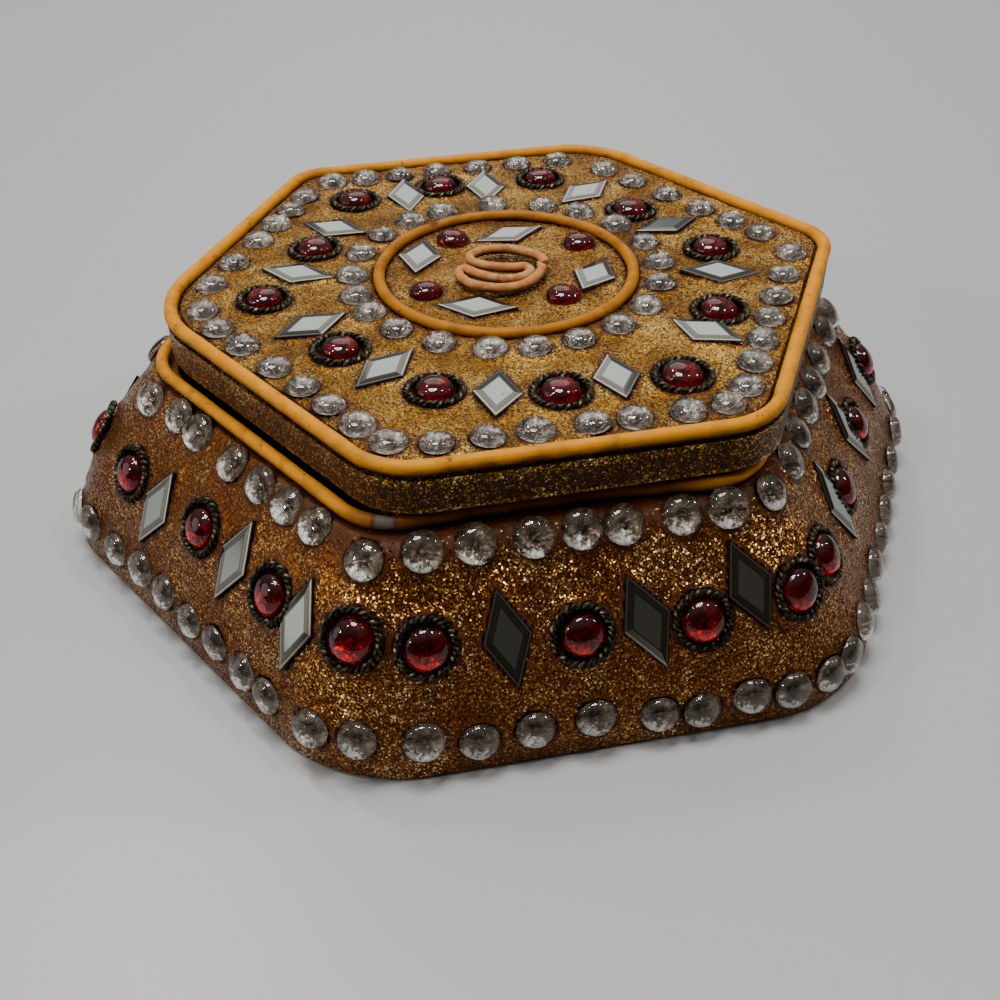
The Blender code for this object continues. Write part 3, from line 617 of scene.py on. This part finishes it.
# Angle, share of the half width, and turn of the long axis from the radius
LID_MIRRORS = (
    (138, 0.70, 7), (109, 0.72, -22), (85, 0.69, -4), (54, 0.69, -19), (20, 0.65, -4), (347, 0.69, 0),
    (315, 0.72, -8), (284, 0.72, -17), (256, 0.73, 0), (227, 0.69, -6), (197, 0.69, 8), (167, 0.69, -12))
# Angle, share of the ring's radius, and direction of the long axis
CENTRE_MIRRORS = ((148, 0.74, 75), (76, 0.64, 12), (340, 0.70, 57), (238, 0.63, 160))
CENTRE_RUBIES = ((117, 0.70), (26, 0.75), (303, 0.62), (197, 0.70))
LID_MIRROR_LENGTH = 0.0086


def lid_frame(place, turn=0.0):
    """Frame on the lid's top, its Y axis turned from +X."""
    return Matrix.Translation((place[0], place[1], LID_TOP)) @ Matrix.Rotation(math.radians(turn - 90), 4, "Z")


def round_place(degrees, radius, centre=(0.0, 0.0)):
    """Point at an angle and a radius round a centre."""
    return Vector((centre[0], centre[1])) + radius * facing(math.radians(degrees))


border_distances = [distance - depth for distance, depth in zip(LID_DISTANCES, BORDER_INSETS)]
lid_stones = [lid_frame(walk(border_distances, inset(LID_CORNERS, BORDER_TIGHTENING), side, share)[0], 90)
              for side, shares in enumerate(BORDER_ROWS) for share in shares]
lid_stones += [lid_frame(round_place(degrees, INNER_ROW_RADIUS, RING_CENTRE), 90) for degrees in INNER_ROW_ANGLES]
lid_rubies = [lid_frame(round_place(degrees, share * LID_DISTANCE), 90) for degrees, share in LID_RUBIES]
lid_mirrors = [lid_frame(round_place(degrees, share * LID_DISTANCE), degrees + turn)
               for degrees, share, turn in LID_MIRRORS]
centre_rubies = [lid_frame(round_place(degrees, share * RING_RADIUS, RING_CENTRE), 90)
                 for degrees, share in CENTRE_RUBIES]
centre_mirrors = [lid_frame(round_place(degrees, share * RING_RADIUS, RING_CENTRE), direction)
                  for degrees, share, direction in CENTRE_MIRRORS]

flange = inset(RIM_DISTANCES, WALL + LID_PLAY)
flange_corners = [RIM_CORNER - WALL - LID_PLAY] * 6
hollow = inset(flange, FLANGE_WALL)
hollow_corners = inset(flange_corners, FLANGE_WALL)
flange_foot = LID_BOTTOM - FLANGE_DEPTH
start_ring("lac_lid", outline(hollow, hollow_corners, LID_TOP - LID_PLATE, LID_POINTS))
for distances, radii, depth, height in (
        (hollow, hollow_corners, 0.0, flange_foot + LID_EDGE),
        (hollow, hollow_corners, -LID_EDGE, flange_foot),
        (flange, flange_corners, LID_EDGE, flange_foot),
        (flange, flange_corners, 0.0, flange_foot + LID_EDGE),
        (flange, flange_corners, 0.0, LID_BOTTOM),
        (LID_DISTANCES, LID_CORNERS, LID_EDGE, LID_BOTTOM)):
    draw_out(outline(inset(distances, depth), inset(radii, depth), height, LID_POINTS))
band_height = LID_TOP - REBATE_DEPTH - LID_BOTTOM - LID_EDGE
for row in range(BAND_ROWS + 1):
    rise = LID_BOTTOM + LID_EDGE + band_height * row / BAND_ROWS
    draw_out(outline(LID_DISTANCES, LID_CORNERS, rise, LID_POINTS))
for depth, drop in ((0.0008, REBATE_DEPTH), (REBATE_INSET, REBATE_DEPTH), (REBATE_INSET, 0.0005),
                    (REBATE_INSET, 0.0001)):
    draw_out(outline(inset(LID_DISTANCES, depth), inset(LID_CORNERS, depth), LID_TOP - drop, LID_POINTS))
top_inset = REBATE_INSET + 0.0001
edge = outline(inset(LID_DISTANCES, top_inset), inset(LID_CORNERS, top_inset), LID_TOP, LID_POINTS)
for ring in range(LID_RINGS):
    share = ring / LID_RINGS
    draw_out([RING_CENTRE + (point - RING_CENTRE) * (1 - share) for point in edge])
lac_lid = close_shell()

lid_skin = points_of(lac_lid)
on_top = np.clip((lid_skin[:, 2] - LID_TOP + 0.00005) / 0.00005, 0, 1)
on_band = (lid_skin[:, 2] > LID_BOTTOM + 0.0004) & (np.hypot(lid_skin[:, 0], lid_skin[:, 1]) > BAND_REACH)
groove = np.abs(np.hypot(lid_skin[:, 0], lid_skin[:, 1] - RING_CENTRE.y) - RING_RADIUS) - RING_CORD_RADIUS
shown = np.maximum(on_top, on_band * 0.5)
press_stones(lac_lid, shown, shown, (
    (lid_stones, round_edge, LID_STONE_RADIUS),
    (lid_rubies, round_edge, WIRE_RING_RADIUS),
    (centre_rubies, round_edge, CENTRE_RUBY_RADIUS),
    (lid_mirrors + centre_mirrors, rhombus_edge, LID_MIRROR_LENGTH),
), collar=0.00014, seat=0.0009)
lid_skin = points_of(lac_lid)
lid_skin[:, 2] -= on_top * GROOVE_DEPTH * np.clip(-groove / 0.0003, 0, 1)
lac_lid.data.vertices.foreach_set("co", lid_skin.ravel())
beside_cord = np.clip(1.3 - np.abs(groove) / 0.0005, 0, 1) * on_top
# Painted shade: the band round the lid is marked bare, with fewer flakes and darker lac, and more so towards its foot
band_shade = on_band * (0.35 + 0.25 * np.clip((LID_TOP - 0.0016 - lid_skin[:, 2]) / 0.0004, 0, 1))
from_rosette = np.hypot(lid_skin[:, 0] - ROSETTE_PLACE.x, lid_skin[:, 1] - ROSETTE_PLACE.y)
under_rosette = np.clip((0.0050 - from_rosette) / 0.0012, 0, 1) * on_top * 0.8
mark(lac_lid, "bare", np.maximum.reduce((marks_of(lac_lid, "bare"), beside_cord, band_shade, under_rosette)))

lid_lac = glitter_lac(
    "lid_glitter_lac",
    flakes=((0.08, (0.045, 0.013, 0.001)), (0.40, (0.20, 0.080, 0.004)), (0.68, (0.48, 0.240, 0.014)),
            (0.88, (0.76, 0.48, 0.06)), (0.96, (0.98, 0.86, 0.44))),
    bare_lac=(0.028, 0.0085, 0.0022), density=0.84, shine=0.85, patches=1.0)
dress(lac_lid, lid_lac, inner_lac)
for polygon in lac_lid.data.polygons:
    under = polygon.center.z < LID_TOP - REBATE_DEPTH and polygon.center.xy.length < UNDERSIDE_REACH
    polygon.material_index = int(under or polygon.normal.z < -0.5)
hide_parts("lid")

# The cord round the lid's edge is the same orange lac, rolled by hand a little thicker. It is laid warm in
# the rebate round the top, and stands half its thickness above the plate.
edge_course = outline(inset(LID_DISTANCES, EDGE_CORD_INSET), inset(LID_CORNERS, EDGE_CORD_INSET), LID_TOP,
                      CORD_POINTS)
edge_cord = lay_cord("edge_cord_lac", edge_course, EDGE_CORD_RADIUS)
dress(edge_cord, orange_lac)
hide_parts("lid_edge_cord")

# A closed ring of the same cord is pressed into the middle of the lid while both are warm. Its lac is
# painted darker than the edge cord, as painted shade over the middle of the lid, and at the back a chip has come out of
# its top.
CHIP_ANGLE = 115
CHIP_DEPTH = 0.0003
RING_THINNING = 0.93
ring_height = LID_TOP - RING_SINK + 0.0001 + RING_CORD_RADIUS
ring_course = [Vector((*round_place(degrees, RING_RADIUS, RING_CENTRE), ring_height)) for degrees in range(0, 360, 3)]
ring_cord = lay_cord("ring_cord_lac", ring_course, RING_CORD_RADIUS * RING_THINNING)
ring_skin = points_of(ring_cord)
chip = round_place(CHIP_ANGLE, RING_RADIUS, RING_CENTRE)
from_chip = np.hypot(ring_skin[:, 0] - chip.x, ring_skin[:, 1] - chip.y) + lumps(ring_skin, 0.0008, 2.0) * 0.0004
chipped = np.clip(1.6 - from_chip / 0.0006, 0, 1)
ring_skin[:, 2] -= chipped * CHIP_DEPTH
ring_cord.data.vertices.foreach_set("co", ring_skin.ravel())
# The cord keeps its painted shade underneath, and the chip is darkened by the same mark
mark(ring_cord, "shade_and_chip", np.maximum(marks_of(ring_cord, "shade_and_chip"), chipped))
# Painted shade: the orange cord's colours, darkened
shaded_ring_lac = cord_lac("ring_cord_lac", (0.29, 0.105, 0.0010), (0.13, 0.034, 0.002), 0.62)
dress(ring_cord, shaded_ring_lac)
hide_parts("lid_ring_cord")

# The rosette is one length of copper-coloured lac cord, laid to and fro in four folds, the second of them
# on top, with a wash of gold rubbed off in patches.
COIL_RADIUS = 0.0042
COIL_CORD_RADIUS = 0.00054
COIL_RISE = 0.0006
COIL_GAP = 0.0003
# Shares of the radius across and along, and share of the rise
COIL_ROUTE = (
    (1.10, -0.16, 0.9), (1.12, 0.22, 0.5), (0.93, 0.66, 0.1), (0.56, 1.00, 0.05), (0.09, 1.14, 0.1), (-0.37, 1.05, 0.3),
    (-0.69, 0.78, 0.6), (-0.74, 0.38, 0.85), (-0.45, 0.03, 1.0), (-0.06, -0.18, 1.0), (0.29, -0.28, 1.0),
    (0.56, -0.27, 0.9), (0.64, -0.50, 0.6), (0.36, -0.69, 0.4), (-0.04, -0.69, 0.4), (-0.40, -0.49, 0.4),
    (-0.74, -0.18, 0.4), (-0.97, 0.15, 0.3), (-1.14, 0.04, 0.1), (-1.12, -0.28, 0.0), (-0.93, -0.64, 0.0),
    (-0.60, -0.88, 0.0), (-0.20, -1.03, 0.0), (0.24, -1.01, 0.0), (0.61, -0.78, 0.0), (0.91, -0.42, 0.0),
    (1.03, -0.12, 0.0), (1.00, 0.16, 0.0))
bends = [ROSETTE_PLACE + Vector((across * COIL_RADIUS, along * COIL_RADIUS,
                                 COIL_GAP + COIL_CORD_RADIUS + lift * COIL_RISE))
         for across, along, lift in COIL_ROUTE]
coil_course = []
for index, (start, end) in enumerate(zip(bends, bends[1:])):
    before, after = bends[max(index - 1, 0)], bends[min(index + 2, len(bends) - 1)]
    for share in (0.0, 0.2, 0.4, 0.6, 0.8):
        coil_course.append(0.5 * (2 * start + (end - before) * share
                                  + (2 * before - 5 * start + 4 * end - after) * share ** 2
                                  + (3 * start - 3 * end + after - before) * share ** 3))
rosette = lay_cord("rosette_cord", coil_course, COIL_CORD_RADIUS, closed=False, unevenness=0.09)
copper_lac = cord_lac("copper_cord_lac", (0.38, 0.135, 0.038), (0.36, 0.21, 0.07), 0.50)
dress(rosette, copper_lac)
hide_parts("centre_coil")

# The clear stones are moulded glass domes with crinkled silver foil behind them, pushed into the lac in
# rows by hand, so that each sits at its own turn and tilt.
STONE_LIFT = 0.00012
STONE_TILT = 3.0
CLEAR_HEIGHT = 0.00105
LID_CLEAR_HEIGHT = 0.00100
# Sides, steps of the dome in shares of its height and radius, and dish of the foil face
CLEAR_CUT = (16, ((0.26, 1.0), (0.72, 0.83), (0.96, 0.45)), -0.0005)
dice = random.Random(7)


def stone_blank(radius, height, cut, materials):
    """One stone: a disc drawn up in steps to a blunt point, with a dished foil face below."""
    sides, shoulder, dish = cut
    bpy.ops.object.select_all(action="DESELECT")
    bpy.ops.mesh.primitive_circle_add(vertices=sides, radius=radius, fill_type="TRIFAN")
    bpy.ops.object.mode_set(mode="EDIT")
    bpy.ops.mesh.select_all(action="DESELECT")
    mesh = bmesh.from_edit_mesh(bpy.context.object.data)
    for vert in mesh.verts:
        vert.select = vert.co.length < radius / 2
        if vert.select:
            vert.co.z = dish
    for edge_line in mesh.edges:
        edge_line.select = edge_line.is_boundary
    mesh.select_flush(True)
    for edge_line in mesh.edges:
        edge_line.select = edge_line.is_boundary
    bmesh.update_edit_mesh(bpy.context.object.data)
    level, width = 0.0, 1.0
    for next_level, next_width in shoulder:
        bpy.ops.mesh.extrude_region_move(TRANSFORM_OT_translate={"value": (0, 0, (next_level - level) * height)})
        bpy.ops.transform.resize(value=(next_width / width, next_width / width, 1.0))
        level, width = next_level, next_width
    bpy.ops.mesh.extrude_region_move(TRANSFORM_OT_translate={"value": (0, 0, (1.0 - level) * height)})
    bpy.ops.mesh.merge(type="CENTER")
    bpy.ops.mesh.select_all(action="SELECT")
    bpy.ops.mesh.normals_make_consistent(inside=False)
    bpy.ops.object.mode_set(mode="OBJECT")
    blank = bpy.context.object
    for material in materials:
        blank.data.materials.append(material)
    for polygon in blank.data.polygons:
        polygon.material_index = int(polygon.normal.z < -0.3)
    mark_across(blank, radius, radius)
    return blank


def set_stones(name, frames, radius, height, cut, spread, *materials):
    """Sets stones of one cut at frames, a little proud of the skin."""
    lift = Matrix.Translation((0.0, 0.0, STONE_LIFT))
    blank = stone_blank(radius, height, cut, materials)
    piece = set_copies(blank, name, [place @ lift for place in frames], spread, STONE_TILT)
    dress(piece)
    return piece


def mark_across(blank, half_width, half_length):
    """Marks how far each point lies across a blank, in shares of its half width and half length."""
    places = points_of(blank) / (half_width, half_length, 1.0)
    places[:, 2] = 0.0
    across = blank.data.attributes.new("across", "FLOAT_VECTOR", "POINT")
    across.data.foreach_set("vector", places.ravel())


def set_copies(blank, name, frames, spread=0.0, tilt=0.0, free_turn=True):
    """Sets a copy of a blank at each frame, and joins them in one piece."""
    copies = []
    for place in frames:
        copy = blank.copy()
        copy.data = blank.data.copy()
        turn = Matrix.Rotation(dice.uniform(0, math.tau) if free_turn else 0.0, 4, "Z")
        lean = Matrix.Rotation(math.radians(dice.gauss(0, tilt)), 4, "X")
        lean = lean @ Matrix.Rotation(math.radians(dice.gauss(0, tilt)), 4, "Y")
        size = Matrix.Scale(1 + dice.uniform(-spread, spread), 4)
        copy.data.transform(place @ lean @ turn @ size)
        if "across" in copy.data.attributes:
            lot = Vector((0, 0, dice.uniform(0, 40)))
            for mark in copy.data.attributes["across"].data:
                mark.vector = turn @ mark.vector + lot
        bpy.context.scene.collection.objects.link(copy)
        copies.append(copy)
    bpy.data.objects.remove(blank)
    choose(*copies)
    bpy.ops.object.join()
    copies[0].name = name
    return copies[0]


def glass(name, colour, ripple):
    """Clear or coloured glass with a slight ripple from its mould."""
    made = Recipe(name)
    made.finish(Base_Color=(*colour, 1.0), Roughness=0.02, IOR=1.5, Transmission_Weight=1.0)
    return made.finish(Normal=made.bump(made.grain(700.0, 2.0), ripple, 0.0001))


def foil(name, dark, middle, light, pupil, highlight_colour):
    """Foil cracked in rays by its pressing, dark in the middle, with a painted highlight at its lower end."""
    made = Recipe(name)
    across = made.add("Attribute", {"attribute_name": "across"}).outputs["Vector"]
    flat = made.vector("MULTIPLY", across, (1.0, 1.0, 0.0))
    parts = made.add("SeparateXYZ", Vector=across)
    reach = made.add("VectorMath", {"operation": "LENGTH"}, _0=flat).outputs["Value"]
    way = made.add("VectorMath", {"operation": "NORMALIZE"}, _0=flat).outputs[0]
    depth = made.add("CombineXYZ", Z=made.sum("ADD", parts.outputs["Z"], reach)).outputs[0]
    rays = made.grain(2.2, 3.0, 0.6, made.vector("ADD", way, depth))
    cloud = made.grain(1.7, 3.0, 0.6, across)
    tone = made.ramp(made.sum("ADD", made.sum("MULTIPLY", rays, 0.4), made.sum("MULTIPLY", cloud, 0.6)),
                     (0.34, dark), (0.50, middle), (0.64, light))
    eye_ring = made.ramp(reach, (0.05, (1.0, 1.0, 1.0)), (0.09, pupil), (0.20, pupil), (0.42, (1.0, 1.0, 1.0)))
    shade = made.multiply(tone, eye_ring)
    # Painted highlight: the foil is lightened toward the lower end of each stone, where light through the dome would
    # gather
    fall = made.sum("ADD", parts.outputs["Y"], made.sum("MULTIPLY", parts.outputs["X"], 0.4))
    low = made.sum("SUBTRACT", made.sum("MULTIPLY", cloud, 1.1), fall)
    low = made.sum("ADD", low, made.sum("MULTIPLY", made.grain(6.0, 3.0, 0.7, across), 1.7))
    painted_highlight = made.add("MapRange", Value=low, From_Min=1.86, From_Max=2.10).outputs["Result"]
    return made.finish(
        Base_Color=made.blend(painted_highlight, shade, (*highlight_colour, 1.0)),
        Metallic=0.6,
        Roughness=0.24,
        Normal=made.bump(cloud, 0.7, 0.0006, made.bump(rays, 0.6, 0.0004)),
    )


clear_glass = glass("clear_glass", (0.90, 0.88, 0.84), 0.10)
skirt_foil = foil("skirt_silver_foil", (0.048, 0.030, 0.017), (0.155, 0.110, 0.068), (0.38, 0.315, 0.23),
                  (0.28, 0.25, 0.22), (0.97, 0.97, 0.95))
lid_foil = foil("lid_silver_foil", (0.058, 0.045, 0.035), (0.200, 0.168, 0.138), (0.74, 0.70, 0.64),
                (0.45, 0.42, 0.40), (0.97, 0.97, 0.95))
skirt_glass = set_stones("skirt_clear_stones", skirt_stones, SKIRT_STONE_RADIUS, CLEAR_HEIGHT, CLEAR_CUT, 0.05,
                         clear_glass, skirt_foil)
lid_glass = set_stones("lid_clear_stones", lid_stones, LID_STONE_RADIUS, LID_CLEAR_HEIGHT, CLEAR_CUT, 0.05,
                       clear_glass, lid_foil)

# The red stones are ruby glass domes over foil, moulded higher than the clear ones. All but the four in
# the middle of the lid stand in a ring of wire.
ruby_glass = glass("ruby_glass", (0.50, 0.002, 0.020), 0.06)
ruby_foil = foil("ruby_foil", (0.025, 0.001, 0.003), (0.13, 0.002, 0.009), (0.42, 0.010, 0.028), (0.5, 0.5, 0.5),
                 (1.0, 0.09, 0.13))
RUBY_CUT = (18, ((0.30, 1.0), (0.68, 0.82), (0.92, 0.48)), -0.0006)
# Name, places, radius and height
skirt_ruby_glass, lid_ruby_glass, centre_ruby_glass = [
    set_stones(name, frames, radius, height, RUBY_CUT, 0.04, ruby_glass, ruby_foil)
    for name, frames, radius, height in (
        ("skirt_red_stones", skirt_rubies, 0.0021, 0.0013),
        ("lid_red_stones", lid_rubies, 0.0020, 0.0012),
        ("centre_red_stones", centre_rubies, CENTRE_RUBY_RADIUS, 0.0011))]
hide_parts(*[f"lid_red_stone_{number}" for number in range(1, 13)])
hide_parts(*[f"centre_red_stone_{number}" for number in range(1, 5)])

# Each ring is two strands of thin brass wire, twisted together, bent round its stone and pressed into the
# lac. The brass has gone dark with age, and shines only where it is rubbed.
WIRE_RADIUS = 0.00022
STRAND_OFFSET = 0.00021
WIRE_COURSE_RADIUS = 0.00272
WIRE_COURSE_HEIGHT = 0.00028
WIRE_TURNS = 14
STEPS_A_TURN = 7


def twisted_ring(name):
    """Two strands of wire, twisted round each other and bent to a ring."""
    strands = []
    for strand in range(2):
        course = []
        for step in range(WIRE_TURNS * STEPS_A_TURN):
            angle = math.tau * step / (WIRE_TURNS * STEPS_A_TURN)
            twist = WIRE_TURNS * angle + math.pi * strand
            reach = WIRE_COURSE_RADIUS + STRAND_OFFSET * math.cos(twist)
            course.append(Vector((reach * math.cos(angle), reach * math.sin(angle),
                                  WIRE_COURSE_HEIGHT + STRAND_OFFSET * math.sin(twist))))
        strands.append(lay_cord(f"{name}_{strand}", course, WIRE_RADIUS, sides=6, unevenness=0.0))
    choose(*strands)
    bpy.ops.object.join()
    return strands[0]


aged = Recipe("dark_wire")
dark_wire = aged.finish(
    Base_Color=aged.ramp(aged.grain(2500.0, 4.0), (0.38, (0.010, 0.008, 0.005)), (0.60, (0.045, 0.035, 0.020)),
                         (0.78, (0.19, 0.15, 0.09))),
    Metallic=0.9,
    Roughness=aged.span(aged.grain(1800.0), 0.24, 0.5),
    Normal=aged.bump(aged.grain(5000.0), 0.3, 0.0001),
)
skirt_rings = set_copies(twisted_ring("skirt_wire"), "skirt_wire_rings", skirt_rubies, 0.03, 1.5)
lid_rings = set_copies(twisted_ring("lid_wire"), "lid_wire_rings", lid_rubies, 0.03, 1.5)
for piece in (skirt_rings, lid_rings):
    dress(piece, dark_wire)

# The mirrors are rhombs cut from thin glass, silvered behind, with a ground bevel along each edge. They are
# pressed into the lac by hand and lie a little askew, and their silvering is worn in places.
MIRROR_THICKNESS = 0.0008
MIRROR_SINK = 0.0003
MIRROR_BEVEL = 0.00072
MIRROR_SLOPE = 0.00015


def mirror_blank(length):
    """A rhombic slab from a flat square, its sides drawn up and its top drawn in for the bevel."""
    bpy.ops.object.select_all(action="DESELECT")
    bpy.ops.mesh.primitive_circle_add(vertices=4, radius=1.0, fill_type="NGON")
    bpy.ops.transform.resize(value=(MIRROR_WIDTH / 2, length / 2, 1.0))
    bpy.ops.object.transform_apply(location=True, rotation=True, scale=True)
    bpy.ops.object.mode_set(mode="EDIT")
    bpy.ops.mesh.select_all(action="SELECT")
    bpy.ops.transform.translate(value=(0, 0, -MIRROR_SINK))
    bpy.ops.mesh.extrude_region_move(TRANSFORM_OT_translate={"value": (0, 0, MIRROR_THICKNESS - MIRROR_SLOPE)})
    bpy.ops.mesh.extrude_region_move(TRANSFORM_OT_translate={"value": (0, 0, MIRROR_SLOPE)})
    height = length * MIRROR_WIDTH / (2 * math.hypot(length, MIRROR_WIDTH))
    share = 1 - MIRROR_BEVEL / height
    bpy.ops.transform.resize(value=(share, share, 1.0))
    bpy.ops.mesh.select_all(action="SELECT")
    bpy.ops.mesh.normals_make_consistent(inside=False)
    bpy.ops.object.mode_set(mode="OBJECT")
    blank = bpy.context.object
    blank.data.materials.append(mirror_silver)
    mark_across(blank, MIRROR_WIDTH / 2, length / 2)
    return blank


silver = Recipe("mirror_silver")
marked = silver.add("Attribute", {"attribute_name": "across"}).outputs["Vector"]
from_middle = silver.add("VectorMath", {"operation": "ABSOLUTE"}, _0=marked).outputs[0]
parts = silver.add("SeparateXYZ", Vector=from_middle)
reach = silver.sum("ADD", parts.outputs["X"], parts.outputs["Y"])
blotches = silver.add("TexNoise", Vector=marked, Scale=1.2, Detail=2.0).outputs["Fac"]
reach = silver.sum("ADD", reach, silver.sum("MULTIPLY", silver.grain(2200.0, 4.0), 0.05))
bevelled = silver.ramp(reach, (0.62, (0.32, 0.345, 0.31)), (0.65, (0.085, 0.080, 0.068)), (0.70, (0.15, 0.14, 0.11)),
                       (0.91, (0.12, 0.105, 0.08)), (0.955, (0.50, 0.52, 0.48)), (1.03, (0.10, 0.08, 0.06)))
aged_patch = silver.ramp(silver.sum("ADD", silver.grain(1300.0, 5.0, 0.7), silver.sum("MULTIPLY", blotches, 0.3)),
                         (0.80, (1.0, 1.0, 1.0)), (0.90, (0.5, 0.46, 0.40)))
mirror_silver = silver.finish(
    Base_Color=silver.multiply(bevelled, aged_patch),
    Metallic=0.95,
    Roughness=silver.span(silver.grain(900.0), 0.03, 0.10),
    Coat_Weight=0.3,
    Coat_Roughness=0.03,
)
# Name, places, length, and usual tilt in degrees
lid_mirror_glass, centre_mirror_glass, skirt_mirror_glass = [
    set_copies(mirror_blank(length), name, frames, 0.02, tilt, False)
    for name, frames, length, tilt in (
        ("lid_mirrors", lid_mirrors, LID_MIRROR_LENGTH, 2.2),
        ("centre_mirrors", centre_mirrors, LID_MIRROR_LENGTH, 2.2),
        ("skirt_mirrors", skirt_mirrors, SKIRT_MIRROR_LENGTH, 1.2))]
for piece in (lid_mirror_glass, centre_mirror_glass, skirt_mirror_glass):
    dress(piece, crease=5)
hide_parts(*[f"lid_mirror_{number}" for number in range(1, 13)])
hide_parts(*[f"centre_mirror_{number}" for number in range(1, 5)])
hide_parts(*[f"skirt_mirror_{number}" for number in range(1, 19)])

# The box stands on a plain pale floor under soft studio light, with small lamps that make the glass glint.
# The camera stands close in front of it, and looks down on the lid.
bpy.ops.object.select_all(action="DESELECT")
bpy.ops.mesh.primitive_plane_add(size=6.0, location=(0, 0, -0.0001))
studio_floor = bpy.context.object
studio_floor.name = "studio_floor"
pale = Recipe("pale_floor")
studio_floor.data.materials.append(pale.finish(
    Base_Color=pale.ramp(pale.grain(3.0), (0.3, (0.283, 0.288, 0.290)), (0.7, (0.300, 0.305, 0.308))), Roughness=0.35))


def soft_light(name, place, width, power, colour=(1.0, 1.0, 1.0)):
    """A round lamp that is turned to the foot of the box."""
    lamp = bpy.data.lights.new(name, "AREA")
    lamp.shape = "DISK"
    lamp.size = width
    lamp.energy = power
    lamp.color = colour
    holder = bpy.data.objects.new(name, lamp)
    holder.location = place
    holder.rotation_euler = (-Vector(place)).to_track_quat("-Z", "Y").to_euler()
    bpy.context.scene.collection.objects.link(holder)


soft_light("ceiling", (-0.12, 0.12, 1.2), 0.5, 12.5)
soft_light("left_panel", (-1.1, 0.15, 0.35), 0.7, 1.4)
soft_light("back_panel", (0.2, 1.2, 0.9), 1.0, 3.2)
for number, place in enumerate(((-0.45, 0.0, 0.8), (0.1, 0.1, 0.95), (0.40, -0.05, 0.8), (-0.2, 0.5, 0.8),
                                 (-0.75, -0.15, 0.45), (0.75, 0.1, 0.5))):
    soft_light(f"downlight_{number}", place, 0.07, 1.8, (1.0, 0.96, 0.90))

world = bpy.data.worlds.new("studio")
world.use_nodes = True
bpy.context.scene.world = world
sky = world.node_tree
upward = sky.nodes.new("ShaderNodeVectorMath")
upward.operation = "DOT_PRODUCT"
upward.inputs[1].default_value = (0.0, 0.45, 1.0)
sky.links.new(sky.nodes.new("ShaderNodeTexCoord").outputs["Generated"], upward.inputs[0])
room = sky.nodes.new("ShaderNodeValToRGB")
for stop, position, colour in zip(room.color_ramp.elements, (0.25, 0.85), ((0.045, 0.034, 0.026), (0.34, 0.35, 0.36))):
    stop.position = position
    stop.color = (*colour, 1.0)
sky.links.new(upward.outputs["Value"], room.inputs["Fac"])
sky.links.new(room.outputs["Color"], sky.nodes["Background"].inputs["Color"])

eye = bpy.data.cameras.new("photo_camera")
eye.sensor_width = 36.0
eye.lens = 45.87
camera = bpy.data.objects.new("photo_camera", eye)
back = Vector((-0.1489, -0.7812, 0.6063)).normalized()
right = Vector((0.9796, -0.2001, -0.0172)).normalized()
camera.matrix_world = Matrix.Translation((-0.02502, -0.12402, 0.09284)) @ Matrix(
    (right, back.cross(right), back)).transposed().to_4x4()
eye.clip_start = 0.005
eye.clip_end = 20.0
bpy.context.scene.collection.objects.link(camera)
bpy.context.scene.camera = camera
